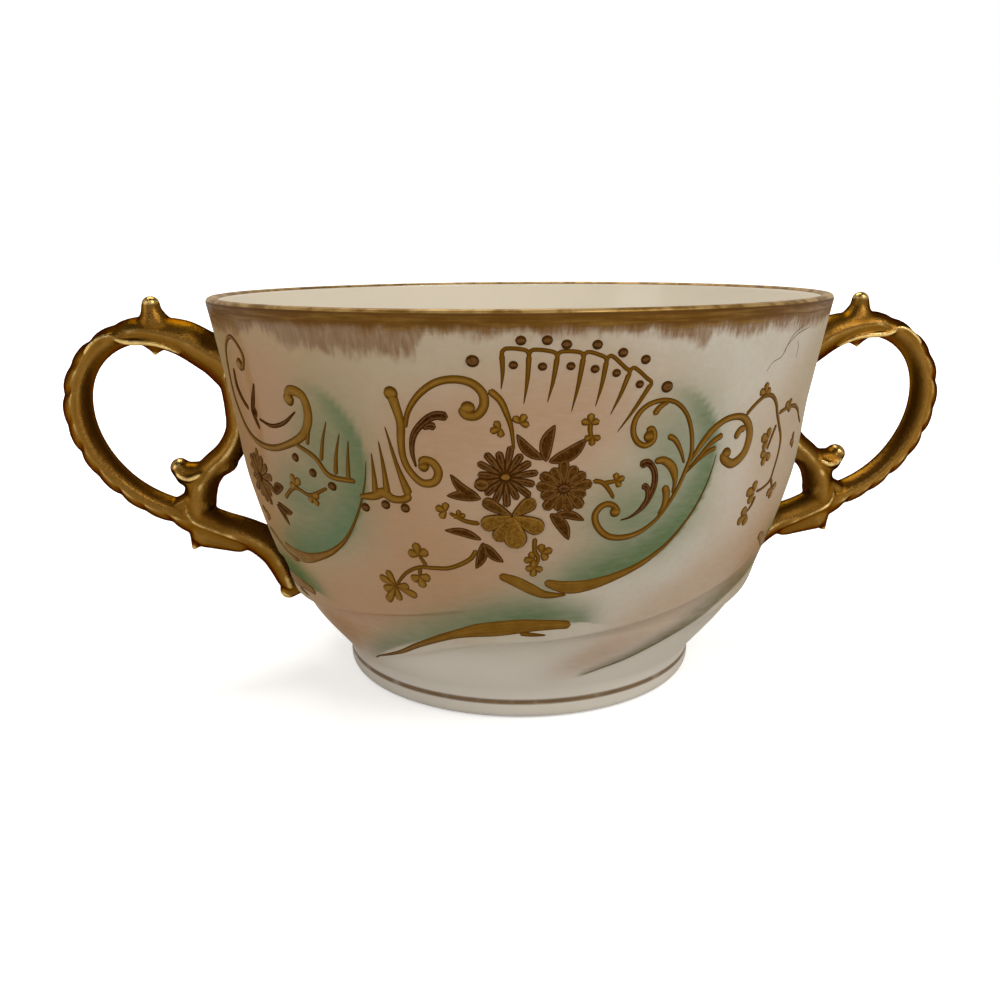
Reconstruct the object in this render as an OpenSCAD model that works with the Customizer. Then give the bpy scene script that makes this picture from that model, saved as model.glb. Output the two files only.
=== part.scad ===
// Bouillon cup in porcelain: a swirl-moulded bowl on a low foot ring, with a pair of
// rococo loop handles. It is one fired piece.
// Millimetres. +Z is up, +X runs out through the right handle, -Y faces the viewer.
// The origin is the centre of the foot's underside, on the table.

/* [Bowl] */
// Height from the table to the top of the lip
cup_h = 59.1; // [56:0.1:64]
// Diameter over the lip
rim_d = 95; // [91:0.5:100]
// Height of the waist, where the wall starts to flare to the lip
waist_h = 45; // [42:0.5:48]
// Diameter at the waist
waist_d = 89; // [86:0.5:92]
// Height of the belly
belly_h = 32; // [28:0.5:35]
// Diameter at the belly
belly_d = 84.8; // [82:0.2:87]
// Height of the shoulder, where the bowl turns up from the foot
shoulder_h = 16; // [14:0.5:19]
// Diameter at the shoulder
shoulder_d = 73.6; // [70:0.2:77]
// Thickness of the wall
wall = 2.4; // [2:0.1:3]
// Thickness of the rounded lip
lip_t = 1.7; // [1.4:0.1:2]
// Thickness of the floor
floor_t = 2.8; // [2.2:0.1:3.6]
// How far the floor's rounded corner reaches in from the wall
cove = 8; // [5:0.5:12]

/* [Foot] */
// Diameter of the foot
foot_d = 56; // [52:0.5:60]
// Height of the foot, up to where the bowl leaves it
foot_h = 4.6; // [3.8:0.1:6]
// Height of the rounded edge on the foot's outside
foot_edge = 1.2; // [0.8:0.1:1.6]
// Width of the flat ring that the cup stands on
ring_w = 2.4; // [1.8:0.1:3.4]
// Depth of the recess under the floor
recess_h = 2.6; // [1.6:0.1:3.2]

/* [Swirl] */
// Number of moulded folds around the bowl
folds = 6; // [5:1:8]
// How far a fold stands over the next one at its deepest
fold_depth = 1.2; // [0.4:0.1:1.4]
// Angle where the first fold leaves the foot, from the viewer towards the right handle
fold_start = 2; // [-20:1:20]
// Angle that a fold runs around the bowl on its way up
fold_sweep = 146; // [120:1:160]

/* [Handle loop] */
// Height of the loop's centre
loop_h = 38.7; // [36:0.1:40]
// Distance of the loop's centre out from the bowl's surface beside it
loop_out = 8.9; // [8:0.1:11]
// Half of the loop's length along its long axis
loop_a = 16.8; // [16:0.1:18]
// Half of the loop's width across that axis
loop_b = 13.3; // [12.6:0.1:14.4]
// Lean of the long axis, up and away from the bowl
loop_lean = 38.5; // [34:0.5:43]
// Thickness of the loop in its own plane
loop_t = 4.4; // [3.6:0.1:5]
// Depth of the loop across its plane
loop_depth = 5.2; // [4:0.1:6.5]
// Depth of the notches along the loop's outer edge
notch = 0.3; // [0:0.05:0.45]

/* [Handle ornament] */
// Radius of the knob on top of the handle
knob_r = 1.5; // [1.2:0.1:2]
// Radius of the ball that ends the inner curl
curl_r = 1.6; // [1.3:0.1:1.9]
// Length of the spur under the handle
spur_len = 3.6; // [2.6:0.1:4.4]
// Length of the pointed cusp that hangs inside the loop
cusp_len = 3.2; // [2.6:0.1:3.6]
// Thickness of the stem that runs down the bowl to the scroll
stem_t = 4.2; // [3.4:0.1:4.8]
// Thickness of the arm from the scroll back to the bowl
arm_t = 4.5; // [3.8:0.1:5.2]
// Height of the arm's lower tip above the table
tip_h = 11.5; // [10.5:0.1:13]

/* [Hidden] */
porcelain = "ivory";
gilt = "goldenrod";
foot_r = foot_d / 2;
rim_r = rim_d / 2;
floor_h = recess_h + floor_t;
ring_out = foot_r - foot_edge;
ring_in = ring_out - ring_w;
// Depth of a root in the wall, so that a handle is one with the bowl and stays out of its inside
seat = wall / 2;
revolve_fn = 60;
section_fn = 10;
ball_fn = 10;

// Smooth curve through the knots k, each [x, y], read at x. Straight beyond its ends.
function slope(k, i) =
    let (a = max(i - 1, 0), b = min(i + 1, len(k) - 1))
    (k[b][1] - k[a][1]) / (k[b][0] - k[a][0]);
function span(x, k, i = 0) = i >= len(k) - 2 || x < k[i + 1][0] ? i : span(x, k, i + 1);
function curve(x, k) =
    let (i = span(x, k), w = k[i + 1][0] - k[i][0], t = min(max((x - k[i][0]) / w, 0), 1))
    k[i][1] * (2 * pow(t, 3) - 3 * pow(t, 2) + 1)
    + slope(k, i) * w * (pow(t, 3) - 2 * pow(t, 2) + t)
    + k[i + 1][1] * (3 * pow(t, 2) - 2 * pow(t, 3))
    + slope(k, i + 1) * w * (pow(t, 3) - pow(t, 2));

// Radius of the bowl's outside at height z, without its folds.
foot_knots = [[0, ring_out], [foot_edge / 3, foot_r - foot_edge / 3], [foot_edge, foot_r],
    [(foot_edge + foot_h) / 2, foot_r], [foot_h, foot_r + 0.4]];
bowl_knots = [[foot_h, foot_r + 0.4], [shoulder_h, shoulder_d / 2], [belly_h, belly_d / 2],
    [waist_h, waist_d / 2], [cup_h, rim_r]];
function body_r(z) = z < foot_h ? curve(z, foot_knots) : curve(z, bowl_knots);

// A fold leaves the foot at height fold_low. Its line rises slowly, runs almost level past the
// shoulder and stands nearly upright on the belly, where it fades out at fold_high.
fold_low = foot_h + 1.4;
fold_high = waist_h - 1;
rise_knots = [[0, 0], [0.14, 0.083], [0.27, 0.195], [0.34, 0.238], [0.46, 0.268], [0.65, 0.345],
    [0.8, 0.45], [0.93, 0.6], [1, 0.85]];
relief_knots = [[0, 0], [0.09, 0.2], [0.17, 0.6], [0.25, 1], [0.34, 0.6], [0.46, 0.3],
    [0.6, 0.34], [0.8, 0.3], [1, 0]];
function fold_z(a) = fold_low + (fold_high - fold_low) * curve(a / fold_sweep, rise_knots);
function fold_relief(z) =
    z < fold_low || z > fold_high ? 0
    : fold_depth * curve((z - fold_low) / (fold_high - fold_low), relief_knots);

// Section of one lobe from a fold (0) round to the next (1): it comes out from under the fold,
// swells, and drops at its own edge.
function lobe(u) = u < 0.9 ? 0.4 - pow(1 - u / 0.9, 1.7) : 0.4 - (u - 0.9) / 0.1;

// One ring of the outside at height z, where the folds have turned by a_fold. A ring on the
// rounded lip is drawn in by inset.
fold_steps = 10;
fold_pitch = 360 / folds;
step = fold_pitch / fold_steps;
function swirl_ring(z, a_fold, inset = 0) =
    let (r = body_r(z) - inset, d = fold_relief(z))
    [for (i = [0 : folds * fold_steps - 1])
        let (u = (i * step - a_fold) / fold_pitch, rr = r + d * lobe(u - floor(u)))
        let (a = fold_start + i * step - 90)
        [rr * cos(a), rr * sin(a), z]];

// Closed skin through a stack of rings with the same number of points, each turning
// anticlockwise seen from the last ring. Every face is split along the way the folds lean.
module loft(rings) {
    n = len(rings[0]);
    m = len(rings);
    points = [for (ring = rings, p = ring) p];
    sides = [for (j = [0 : m - 2], i = [0 : n - 1])
        let (a = j * n + i, b = j * n + (i + 1) % n, c = b + n, d = a + n)
        each [[a, c, b], [a, d, c]]];
    first = [for (i = [0 : n - 1]) i];
    last = [for (i = [n - 1 : -1 : 0]) (m - 1) * n + i];
    polyhedron(points, concat([first], sides, [last]), convexity = 8);
}

// The bowl's outside as a solid: foot, swirl folds, flare and rounded lip. The rings on the swirl
// are spaced so that a fold moves round by one step from each ring to the next.
module bowl_outside() {
    low = [for (z = [0, foot_edge / 3, foot_edge, (foot_edge + foot_h) / 2, foot_h]) [z, 0]];
    swirl_n = floor(0.93 * fold_sweep / step);
    swirl = [for (i = [0 : swirl_n]) [fold_z(i * step), i * step]];
    z_top = fold_z(swirl_n * step);
    turn = [[z_top, swirl_n * step], [fold_high, fold_sweep], [cup_h, fold_sweep]];
    upper_n = 7;
    upper = [for (i = [1 : upper_n])
        let (z = z_top + (cup_h - lip_t - z_top) * i / upper_n) [z, curve(z, turn)]];
    lip = [for (a = [0, 40, 75]) [cup_h - lip_t / 2 * (1 - sin(a)), lip_t / 2 * (1 - cos(a))]];
    loft(concat([for (q = concat(low, swirl, upper)) swirl_ring(q[0], q[1])],
        [for (q = lip) swirl_ring(q[0], fold_sweep, q[1])]));
}

// The inside follows the outside at the wall's thickness, which thins to the lip.
function wall_at(z) = curve(z, [[floor_h, wall], [waist_h, wall], [cup_h, lip_t]]);
function inner_r(z) =
    let (tilt = (body_r(z + 0.5) - body_r(z - 0.5)), t = max(1 - (z - floor_h) / 6, 0))
    body_r(z) - wall_at(z) * sqrt(1 + tilt * tilt) - cove * t * t;

module cavity() {
    n = 9;
    lip_z = cup_h - lip_t / 2;
    side = [for (i = [0 : n]) let (z = floor_h + (lip_z - floor_h) * pow(i / n, 1.5)) [inner_r(z), z]];
    mouth = [for (a = [45, 85])
        [inner_r(lip_z) + lip_t / 2 * (1 - cos(a)), cup_h - lip_t / 2 * (1 - sin(a))]];
    over = mouth[len(mouth) - 1][0];
    rotate_extrude($fn = revolve_fn)
        polygon(concat([[0, floor_h]], side, mouth, [[over, cup_h + 1], [0, cup_h + 1]]));
}

// The recess leaves the ring that the cup stands on. Its corner is rounded as a thrown foot's is.
module foot_recess() {
    round_r = 1.5;
    corner = [for (a = [0, 45, 90])
        [ring_in - 0.6 - round_r * (1 - cos(a)), recess_h - round_r * (1 - sin(a))]];
    rotate_extrude($fn = revolve_fn)
        polygon(concat([[0, -1], [ring_in, -1], [ring_in, 0]], corner, [[0, recess_h]]));
}

// A limb of the handle is a sweep with a rounded-diamond section. Each station is
// [x, z, half thickness in the handle's plane, half depth across it].
function column(k, j) = [for (i = [0 : len(k) - 1]) [i, k[i][j]]];
function station(k, t) = [for (j = [0 : 3]) curve(t, column(k, j))];
function diamond(a) = let (c = cos(a), s = sin(a), p = 1.25) [sign(c) * pow(abs(c), p), sign(s) * pow(abs(s), p)];
function limb_ring(here, way, cut) =
    let (w = [way[0], way[1]] / norm([way[0], way[1]]))
    [for (i = [0 : section_fn - 1])
        let (q = diamond(i * 360 / section_fn), s = q[0] * (here[2] - (q[0] > 0.5 ? cut : 0)))
        [here[0] - w[1] * s, -q[1] * here[3], here[1] + w[0] * s]];

module limb(k, steps, notched = [1, 0]) {
    n = (len(k) - 1) * steps;
    loft([for (i = [0 : n])
        let (t = i / steps, e = 0.5 / steps)
        limb_ring(station(k, t), station(k, min(t + e, len(k) - 1)) - station(k, max(t - e, 0)),
            t > notched[0] && t < notched[1] && i % 2 == 1 ? notch : 0)]);
}

// A round-ended blend between two balls, each [x, z, radius].
module blend(a, b) {
    hull()
        for (q = [a, b])
            translate([q[0], 0, q[1]])
                sphere(r = q[2], $fn = ball_fn);
}

// The loop's centreline is part of an ellipse that leans away from the bowl.
loop_x = body_r(loop_h) + loop_out;
function loop_at(t) =
    let (u = loop_a * cos(t), v = loop_b * sin(t))
    [loop_x + u * cos(loop_lean) - v * sin(loop_lean), loop_h + u * sin(loop_lean) + v * cos(loop_lean)];
loop_first = 38;
loop_last = -112;
// The loop is stoutest at its far side and slims towards the knob and the scroll.
loop_knots = [[-112, 0.97], [-88, 0.93], [-60, 1], [-30, 1.04], [0, 0.93], [22, 0.87], [38, 0.92]];
function loop_half(t) = loop_t / 2 * curve(t, loop_knots);

// Places along the handle, from the top root down to the lower tip.
top_end = loop_at(loop_first);
low_end = loop_at(loop_last);
root_h = top_end[1] - 4;
root_x = body_r(root_h);
knob_x = top_end[0] - 2.6;
knob_h = top_end[1] + 0.3;
scroll_x = low_end[0] - 4;
scroll_h = low_end[1] - 1.2;
stem_low = loop_h - 1.2;

module handle() {
    loop_n = 12;
    half_d = loop_depth / 2;
    top = [
        [root_x - seat, root_h - 1.3, 4, half_d * 1.5],
        [root_x + 2.2, root_h + 0.5, 3.1, half_d * 1.35],
        [knob_x - 3.4, knob_h - 1.5, 2.9, half_d * 1.2],
    ];
    loop = [for (i = [0 : loop_n])
        let (t = loop_first + (loop_last - loop_first) * i / loop_n, p = loop_at(t))
        [p[0], p[1], loop_half(t), half_d]];
    arm = [
        [scroll_x, scroll_h - 0.5, arm_t / 2 + 0.6, half_d * 1.15],
        [scroll_x - 3.5, scroll_h - 1.9, arm_t / 2 + 0.5, half_d * 1.15],
        [body_r(scroll_h - 3) + 4.6, scroll_h - 3.2, arm_t / 2 + 0.3, half_d * 1.15],
        [body_r(scroll_h - 5) + 1.9, scroll_h - 5.4, arm_t / 2 + 0.5, half_d * 1.2],
        [body_r(tip_h + 5) + 1.5, tip_h + 4.6, arm_t / 2 + 0.3, half_d * 1.15],
        [body_r(tip_h + 2) + 2.3, tip_h + 1.6, arm_t / 2 - 0.2, half_d],
        [body_r(tip_h) + 3.4, tip_h + 0.2, 1.2, 1.6],
    ];
    limb(concat(top, loop, arm), 2, [3, loop_n + 2]);

    // The stem lies along the bowl, then leaves it for the scroll.
    stem_half = stem_t / 2;
    stem = [
        [body_r(root_h) + 0.3, root_h, stem_half + 0.2, half_d * 1.25],
        [body_r(loop_h + 7) + 0.2, loop_h + 7, stem_half - 0.1, half_d * 1.1],
        [body_r(loop_h + 2.5) + 0.2, loop_h + 2.5, stem_half, half_d * 1.05],
        [body_r(stem_low) + 0.7, stem_low, stem_half, half_d],
        [body_r(stem_low) + 2.4, stem_low - 3.2, stem_half, half_d],
        [scroll_x - 2.5, stem_low - 6, stem_half + 0.1, half_d],
        [scroll_x - 0.9, stem_low - 8.4, stem_half + 0.5, half_d * 1.1],
        [scroll_x, scroll_h + 0.6, stem_half + 0.6, half_d * 1.1],
    ];
    limb(stem, 2);

    // The curl leaves the stem like a breaking wave and rolls up into a ball inside the loop.
    curl_x = scroll_x + 2.8;
    curl_h = stem_low - 5.3;
    wave = [
        [scroll_x - 3.6, curl_h + 0.9, curl_r + 0.4, half_d * 0.95],
        [scroll_x - 1.6, curl_h - 1.1, curl_r + 0.7, half_d * 1.05],
        [scroll_x + 0.9, curl_h - 1.7, curl_r + 0.5, half_d * 0.95],
        [curl_x - 0.3, curl_h - 0.7, curl_r, half_d * 0.75],
    ];
    limb(wave, 2);
    blend([curl_x - 0.4, curl_h - 0.7, curl_r], [curl_x, curl_h, curl_r]);

    // The knob stands on the top of the handle and flares down into it on both sides.
    knob_foot = [
        [knob_x + 0.3, knob_h - 2, 5.6, half_d * 0.9],
        [knob_x + 0.4, knob_h - 0.2, 4.3, half_d * 0.85],
        [knob_x + 0.5, knob_h + 1.2, knob_r + 1.1, half_d * 0.7],
        [knob_x + 0.6, knob_h + 2.5, knob_r, knob_r],
    ];
    limb(knob_foot, 2);
    blend([knob_x + 0.6, knob_h + 2.3, knob_r], [knob_x + 0.6, knob_h + 3.4, knob_r]);

    // The cusp points down from the handle's top into the loop.
    cusp = [
        [knob_x + 0.4, knob_h - 0.6, 4.2, half_d * 0.8],
        [knob_x + 0.4, knob_h - 1.9, 2.8, half_d * 0.7],
        [knob_x + 0.5, knob_h - cusp_len + 0.2, 1.3, 1.2],
        [knob_x + 0.5, knob_h - cusp_len - 0.8, 0.3, 0.5],
    ];
    limb(cusp, 2);

    // The spur is a pointed leaf that hangs where the loop, the stem and the arm meet.
    spur = [
        [scroll_x - 0.6, scroll_h - 0.4, 4.6, half_d * 0.9],
        [scroll_x - 0.4, scroll_h - 2, 3.7, half_d * 0.85],
        [scroll_x + 0.2, scroll_h - spur_len, 2.1, half_d * 0.6],
    ];
    limb(spur, 2);
    blend([scroll_x + 0.5, scroll_h - spur_len, 1.5], [scroll_x + 0.9, scroll_h - spur_len - 1, 0.4]);

    // The tip is the arm's rounded end, a drop that lies on the bowl.
    blend([body_r(tip_h) + 2, tip_h + 1.6, 1.9], [body_r(tip_h) + 4.1, tip_h + 0.1, 1.5]);
}

module cup() {
    difference() {
        union() {
            color(porcelain)
                bowl_outside();
            for (side = [0, 1])
                mirror([side, 0, 0])
                    color(gilt)
                        handle();
        }
        color(porcelain)
            cavity();
        color(porcelain)
            foot_recess();
    }
}

cup();
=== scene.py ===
"""Two-handled bouillon cup in painted porcelain, dressed for rendering over its CAD frame."""
import math

import bpy
import numpy as np
from mathutils import Matrix, Vector


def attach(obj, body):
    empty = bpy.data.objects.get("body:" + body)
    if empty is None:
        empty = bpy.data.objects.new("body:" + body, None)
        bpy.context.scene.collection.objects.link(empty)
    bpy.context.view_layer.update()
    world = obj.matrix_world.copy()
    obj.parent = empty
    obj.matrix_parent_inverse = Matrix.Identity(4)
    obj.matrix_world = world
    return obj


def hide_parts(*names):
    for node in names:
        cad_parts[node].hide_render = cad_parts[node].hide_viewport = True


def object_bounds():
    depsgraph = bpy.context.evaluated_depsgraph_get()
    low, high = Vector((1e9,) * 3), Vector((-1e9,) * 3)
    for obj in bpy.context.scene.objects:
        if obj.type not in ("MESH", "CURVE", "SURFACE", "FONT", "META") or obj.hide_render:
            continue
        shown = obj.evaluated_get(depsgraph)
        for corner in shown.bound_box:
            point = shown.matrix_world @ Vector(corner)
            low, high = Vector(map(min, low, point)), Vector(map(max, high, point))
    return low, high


bl_info = {
    "name": "Bouillon Cup",
    "version": (1, 0, 0),
    "blender": (4, 5, 0),
    "location": "View3D > Sidebar > Cup",
    "description": "Builds a painted bouillon cup with gilt scroll handles",
    "category": "Object",
}

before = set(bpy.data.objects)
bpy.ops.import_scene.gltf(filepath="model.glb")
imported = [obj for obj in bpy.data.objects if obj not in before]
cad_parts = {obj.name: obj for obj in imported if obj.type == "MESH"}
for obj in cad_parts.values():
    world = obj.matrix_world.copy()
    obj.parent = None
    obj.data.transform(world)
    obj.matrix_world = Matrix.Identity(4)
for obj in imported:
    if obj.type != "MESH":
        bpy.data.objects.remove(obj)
CAD_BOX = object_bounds()

MM = 0.001
# The painting is laid out on the bowl unrolled at this radius: millimetres around and up.
CHART_RADIUS = 42.97
# One sixth of the way round, in chart millimetres: the painting follows the six folds.
PANEL = 45.0
# The painting repeats on the back, half a turn round.
HALF_TURN = 3 * PANEL
# Voxel size in metres, and smoothing passes, that join each handle's parts into one skin.
SKIN_VOXEL = 0.00022
SKIN_PASSES = 7
# A handle's roots stay this far from the cup's hollow, in millimetres.
ROOT_COVER = 0.8
# How much higher than the right handle the left one sits, in millimetres.
LEFT_LIFT = 0.6
# A handle's loop runs from its top to its low end, in degrees round its own ellipse.
LOOP_TOP = 38
LOOP_LOW = -112
# Gilding by height in millimetres: where it begins and where it is full.
RIM_BAND = (56.1, 57.4)
LIP_GOLD = (58.6, 58.72)
# The brown seam under the lip and the gold line on the foot: where each rises and where it drops.
LIP_SEAM = ((58.3, 58.45), (58.62, 58.55))
FOOT_LINE = ((2.2, 2.55), (3.35, 2.95))


# Curves

def curve(x, knots):
    """Smooth curve through the knots, flat beyond the first and the last."""
    kx = np.array([k[0] for k in knots], float)
    ky = np.array([k[1] for k in knots], float)
    last = len(knots) - 1
    before = np.maximum(np.arange(last + 1) - 1, 0)
    after = np.minimum(np.arange(last + 1) + 1, last)
    slope = (ky[after] - ky[before]) / (kx[after] - kx[before])
    x = np.clip(np.asarray(x, float), kx[0], kx[-1])
    i = np.clip(np.searchsorted(kx, x, side="right") - 1, 0, last - 1)
    width = kx[i + 1] - kx[i]
    t = (x - kx[i]) / width
    start = (1 + 2 * t) * (1 - t) ** 2 * ky[i] + t * (1 - t) ** 2 * width * slope[i]
    end = t ** 2 * (3 - 2 * t) * ky[i + 1] + t ** 2 * (t - 1) * width * slope[i + 1]
    return start + end


def smooth(t):
    """Eased step from 0 to 1."""
    t = np.clip(t, 0, 1)
    return t * t * (3 - 2 * t)


def through(points, step):
    """Even points, a step apart, on a smooth curve through the given ones."""
    p = np.array(points, float)
    run = np.concatenate([[0], np.cumsum(np.linalg.norm(np.diff(p, axis=0), axis=1))])
    count = max(int(math.ceil(run[-1] / step)), 3)
    at = np.linspace(0, run[-1], count + 1)
    return np.stack([curve(at, list(zip(run, p[:, k]))) for k in range(p.shape[1])], 1)


def along(path):
    """Distance run at each point of a path."""
    return np.concatenate([[0], np.cumsum(np.linalg.norm(np.diff(path, axis=0), axis=1))])


def leftwards(path):
    """Unit normals on the left of a flat path."""
    way = np.gradient(path, axis=0)
    way /= np.maximum(np.linalg.norm(way, axis=1), 1e-9)[:, None]
    return np.stack([-way[:, 1], way[:, 0]], 1)


# Forms of the bowl and the handles

class BowlForm:
    """The bowl's outside, inside and swirling folds, in millimetres, from the panel's sizes."""

    def __init__(self, sizes):
        mm = 1 / MM
        self.height = sizes.height * mm
        self.foot_height = sizes.foot_height * mm
        self.foot_radius = sizes.foot_diameter * mm / 2
        self.foot_edge = sizes.foot_edge * mm
        self.ring_out = self.foot_radius - self.foot_edge
        self.ring_in = self.ring_out - sizes.foot_ring * mm
        self.recess = sizes.recess * mm
        self.floor = self.recess + sizes.floor * mm
        self.wall = sizes.wall * mm
        self.lip = sizes.lip * mm
        self.cove = sizes.cove * mm
        self.foot_knots = [
            (0, self.ring_out),
            (self.foot_edge / 3, self.foot_radius - self.foot_edge / 3),
            (self.foot_edge, self.foot_radius),
            ((self.foot_edge + self.foot_height) / 2, self.foot_radius),
            (self.foot_height, self.foot_radius + 0.4),
        ]
        self.waist = sizes.waist_height * mm
        self.bowl_knots = [
            (self.foot_height, self.foot_radius + 0.4),
            (sizes.shoulder_height * mm, sizes.shoulder_diameter * mm / 2),
            (sizes.belly_height * mm, sizes.belly_diameter * mm / 2),
            (self.waist, sizes.waist_diameter * mm / 2),
            (self.height, sizes.rim_diameter * mm / 2),
        ]
        self.pitch = 360 / sizes.folds
        self.fold_depth = sizes.fold_depth * mm
        self.fold_start = math.degrees(sizes.fold_start)
        self.sweep = math.degrees(sizes.fold_sweep)
        self.fold_low = self.foot_height + 1.4
        self.fold_high = self.waist - 1
        self.rise = [(0, 0), (0.14, 0.083), (0.27, 0.195), (0.34, 0.238), (0.46, 0.268),
                     (0.65, 0.345), (0.8, 0.45), (0.93, 0.6), (1, 0.85)]
        self.swell = [(0, 0), (0.09, 0.2), (0.17, 0.6), (0.25, 1), (0.34, 0.55),
                      (0.4, 0.2), (0.52, 0.16), (0.62, 0.3), (0.8, 0.3), (1, 0)]
        self.swirl_turn = math.floor(0.93 * self.sweep / 6) * 6
        turns = np.linspace(0, self.swirl_turn, 400)
        self.turn_table = (self.fold_height(turns), turns)
        self.swirl_top = float(self.fold_height(self.swirl_turn))

    def radius(self, z):
        """Radius without the folds, drawn in a hair at the rim so that the paint has room."""
        z = np.asarray(z, float)
        room = 0.32 * smooth((z - self.waist) / (self.height - self.waist))
        return np.where(z < self.foot_height, curve(z, self.foot_knots),
                        curve(z, self.bowl_knots) - room)

    def fold_height(self, turn):
        """Height at which a fold has turned this many degrees round the bowl."""
        reach = self.fold_high - self.fold_low
        return self.fold_low + reach * curve(np.asarray(turn) / self.sweep, self.rise)

    def fold_turn(self, z):
        """How far a fold has turned, in degrees, at a height."""
        z = np.asarray(z, float)
        low = np.interp(z, *self.turn_table)
        high = curve(z, [(self.swirl_top, self.swirl_turn), (self.fold_high, self.sweep),
                         (self.height, self.sweep)])
        return np.where(z < self.swirl_top, low, high)

    def relief(self, z):
        """How far the folds stand out at a height."""
        reach = self.fold_high - self.fold_low
        return self.fold_depth * curve((np.asarray(z) - self.fold_low) / reach, self.swell)

    def fold(self, azimuth, z, turn=None):
        """Outward push of the folds: a slow rise to a crest, then a quick drop."""
        if turn is None:
            turn = self.fold_turn(z)
        u = ((azimuth - self.fold_start - turn) / self.pitch) % 1.0
        rise = 0.4 - np.maximum(1 - u / 0.92, 0) ** 1.7
        drop = smooth((u - 0.92) / 0.08) * 0.5 + np.clip((u - 0.92) / 0.08, 0, 1) * 0.5
        return self.relief(z) * (rise - drop)

    def outside(self, azimuth, z):
        """Outer radius with the folds."""
        return self.radius(z) + self.fold(azimuth, z)

    def inside(self, z):
        """Inner radius: the wall taken off square to the slope, and the cove at the floor."""
        z = np.asarray(z, float)
        wall = curve(z, [(self.floor, self.wall), (self.waist, self.wall),
                         (self.height, self.lip)])
        tilt = self.radius(z + 0.5) - self.radius(z - 0.5)
        t = np.maximum(1 - (z - self.floor) / 6, 0)
        return self.radius(z) - wall * np.sqrt(1 + tilt ** 2) - self.cove * t ** 2

    def point(self, azimuth, radius, z):
        """Metres in the object's frame; azimuth in degrees from the front towards +X."""
        a = np.radians(azimuth)
        return np.stack([radius * np.sin(a), -radius * np.cos(a), z + 0 * a], -1) * MM


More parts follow.
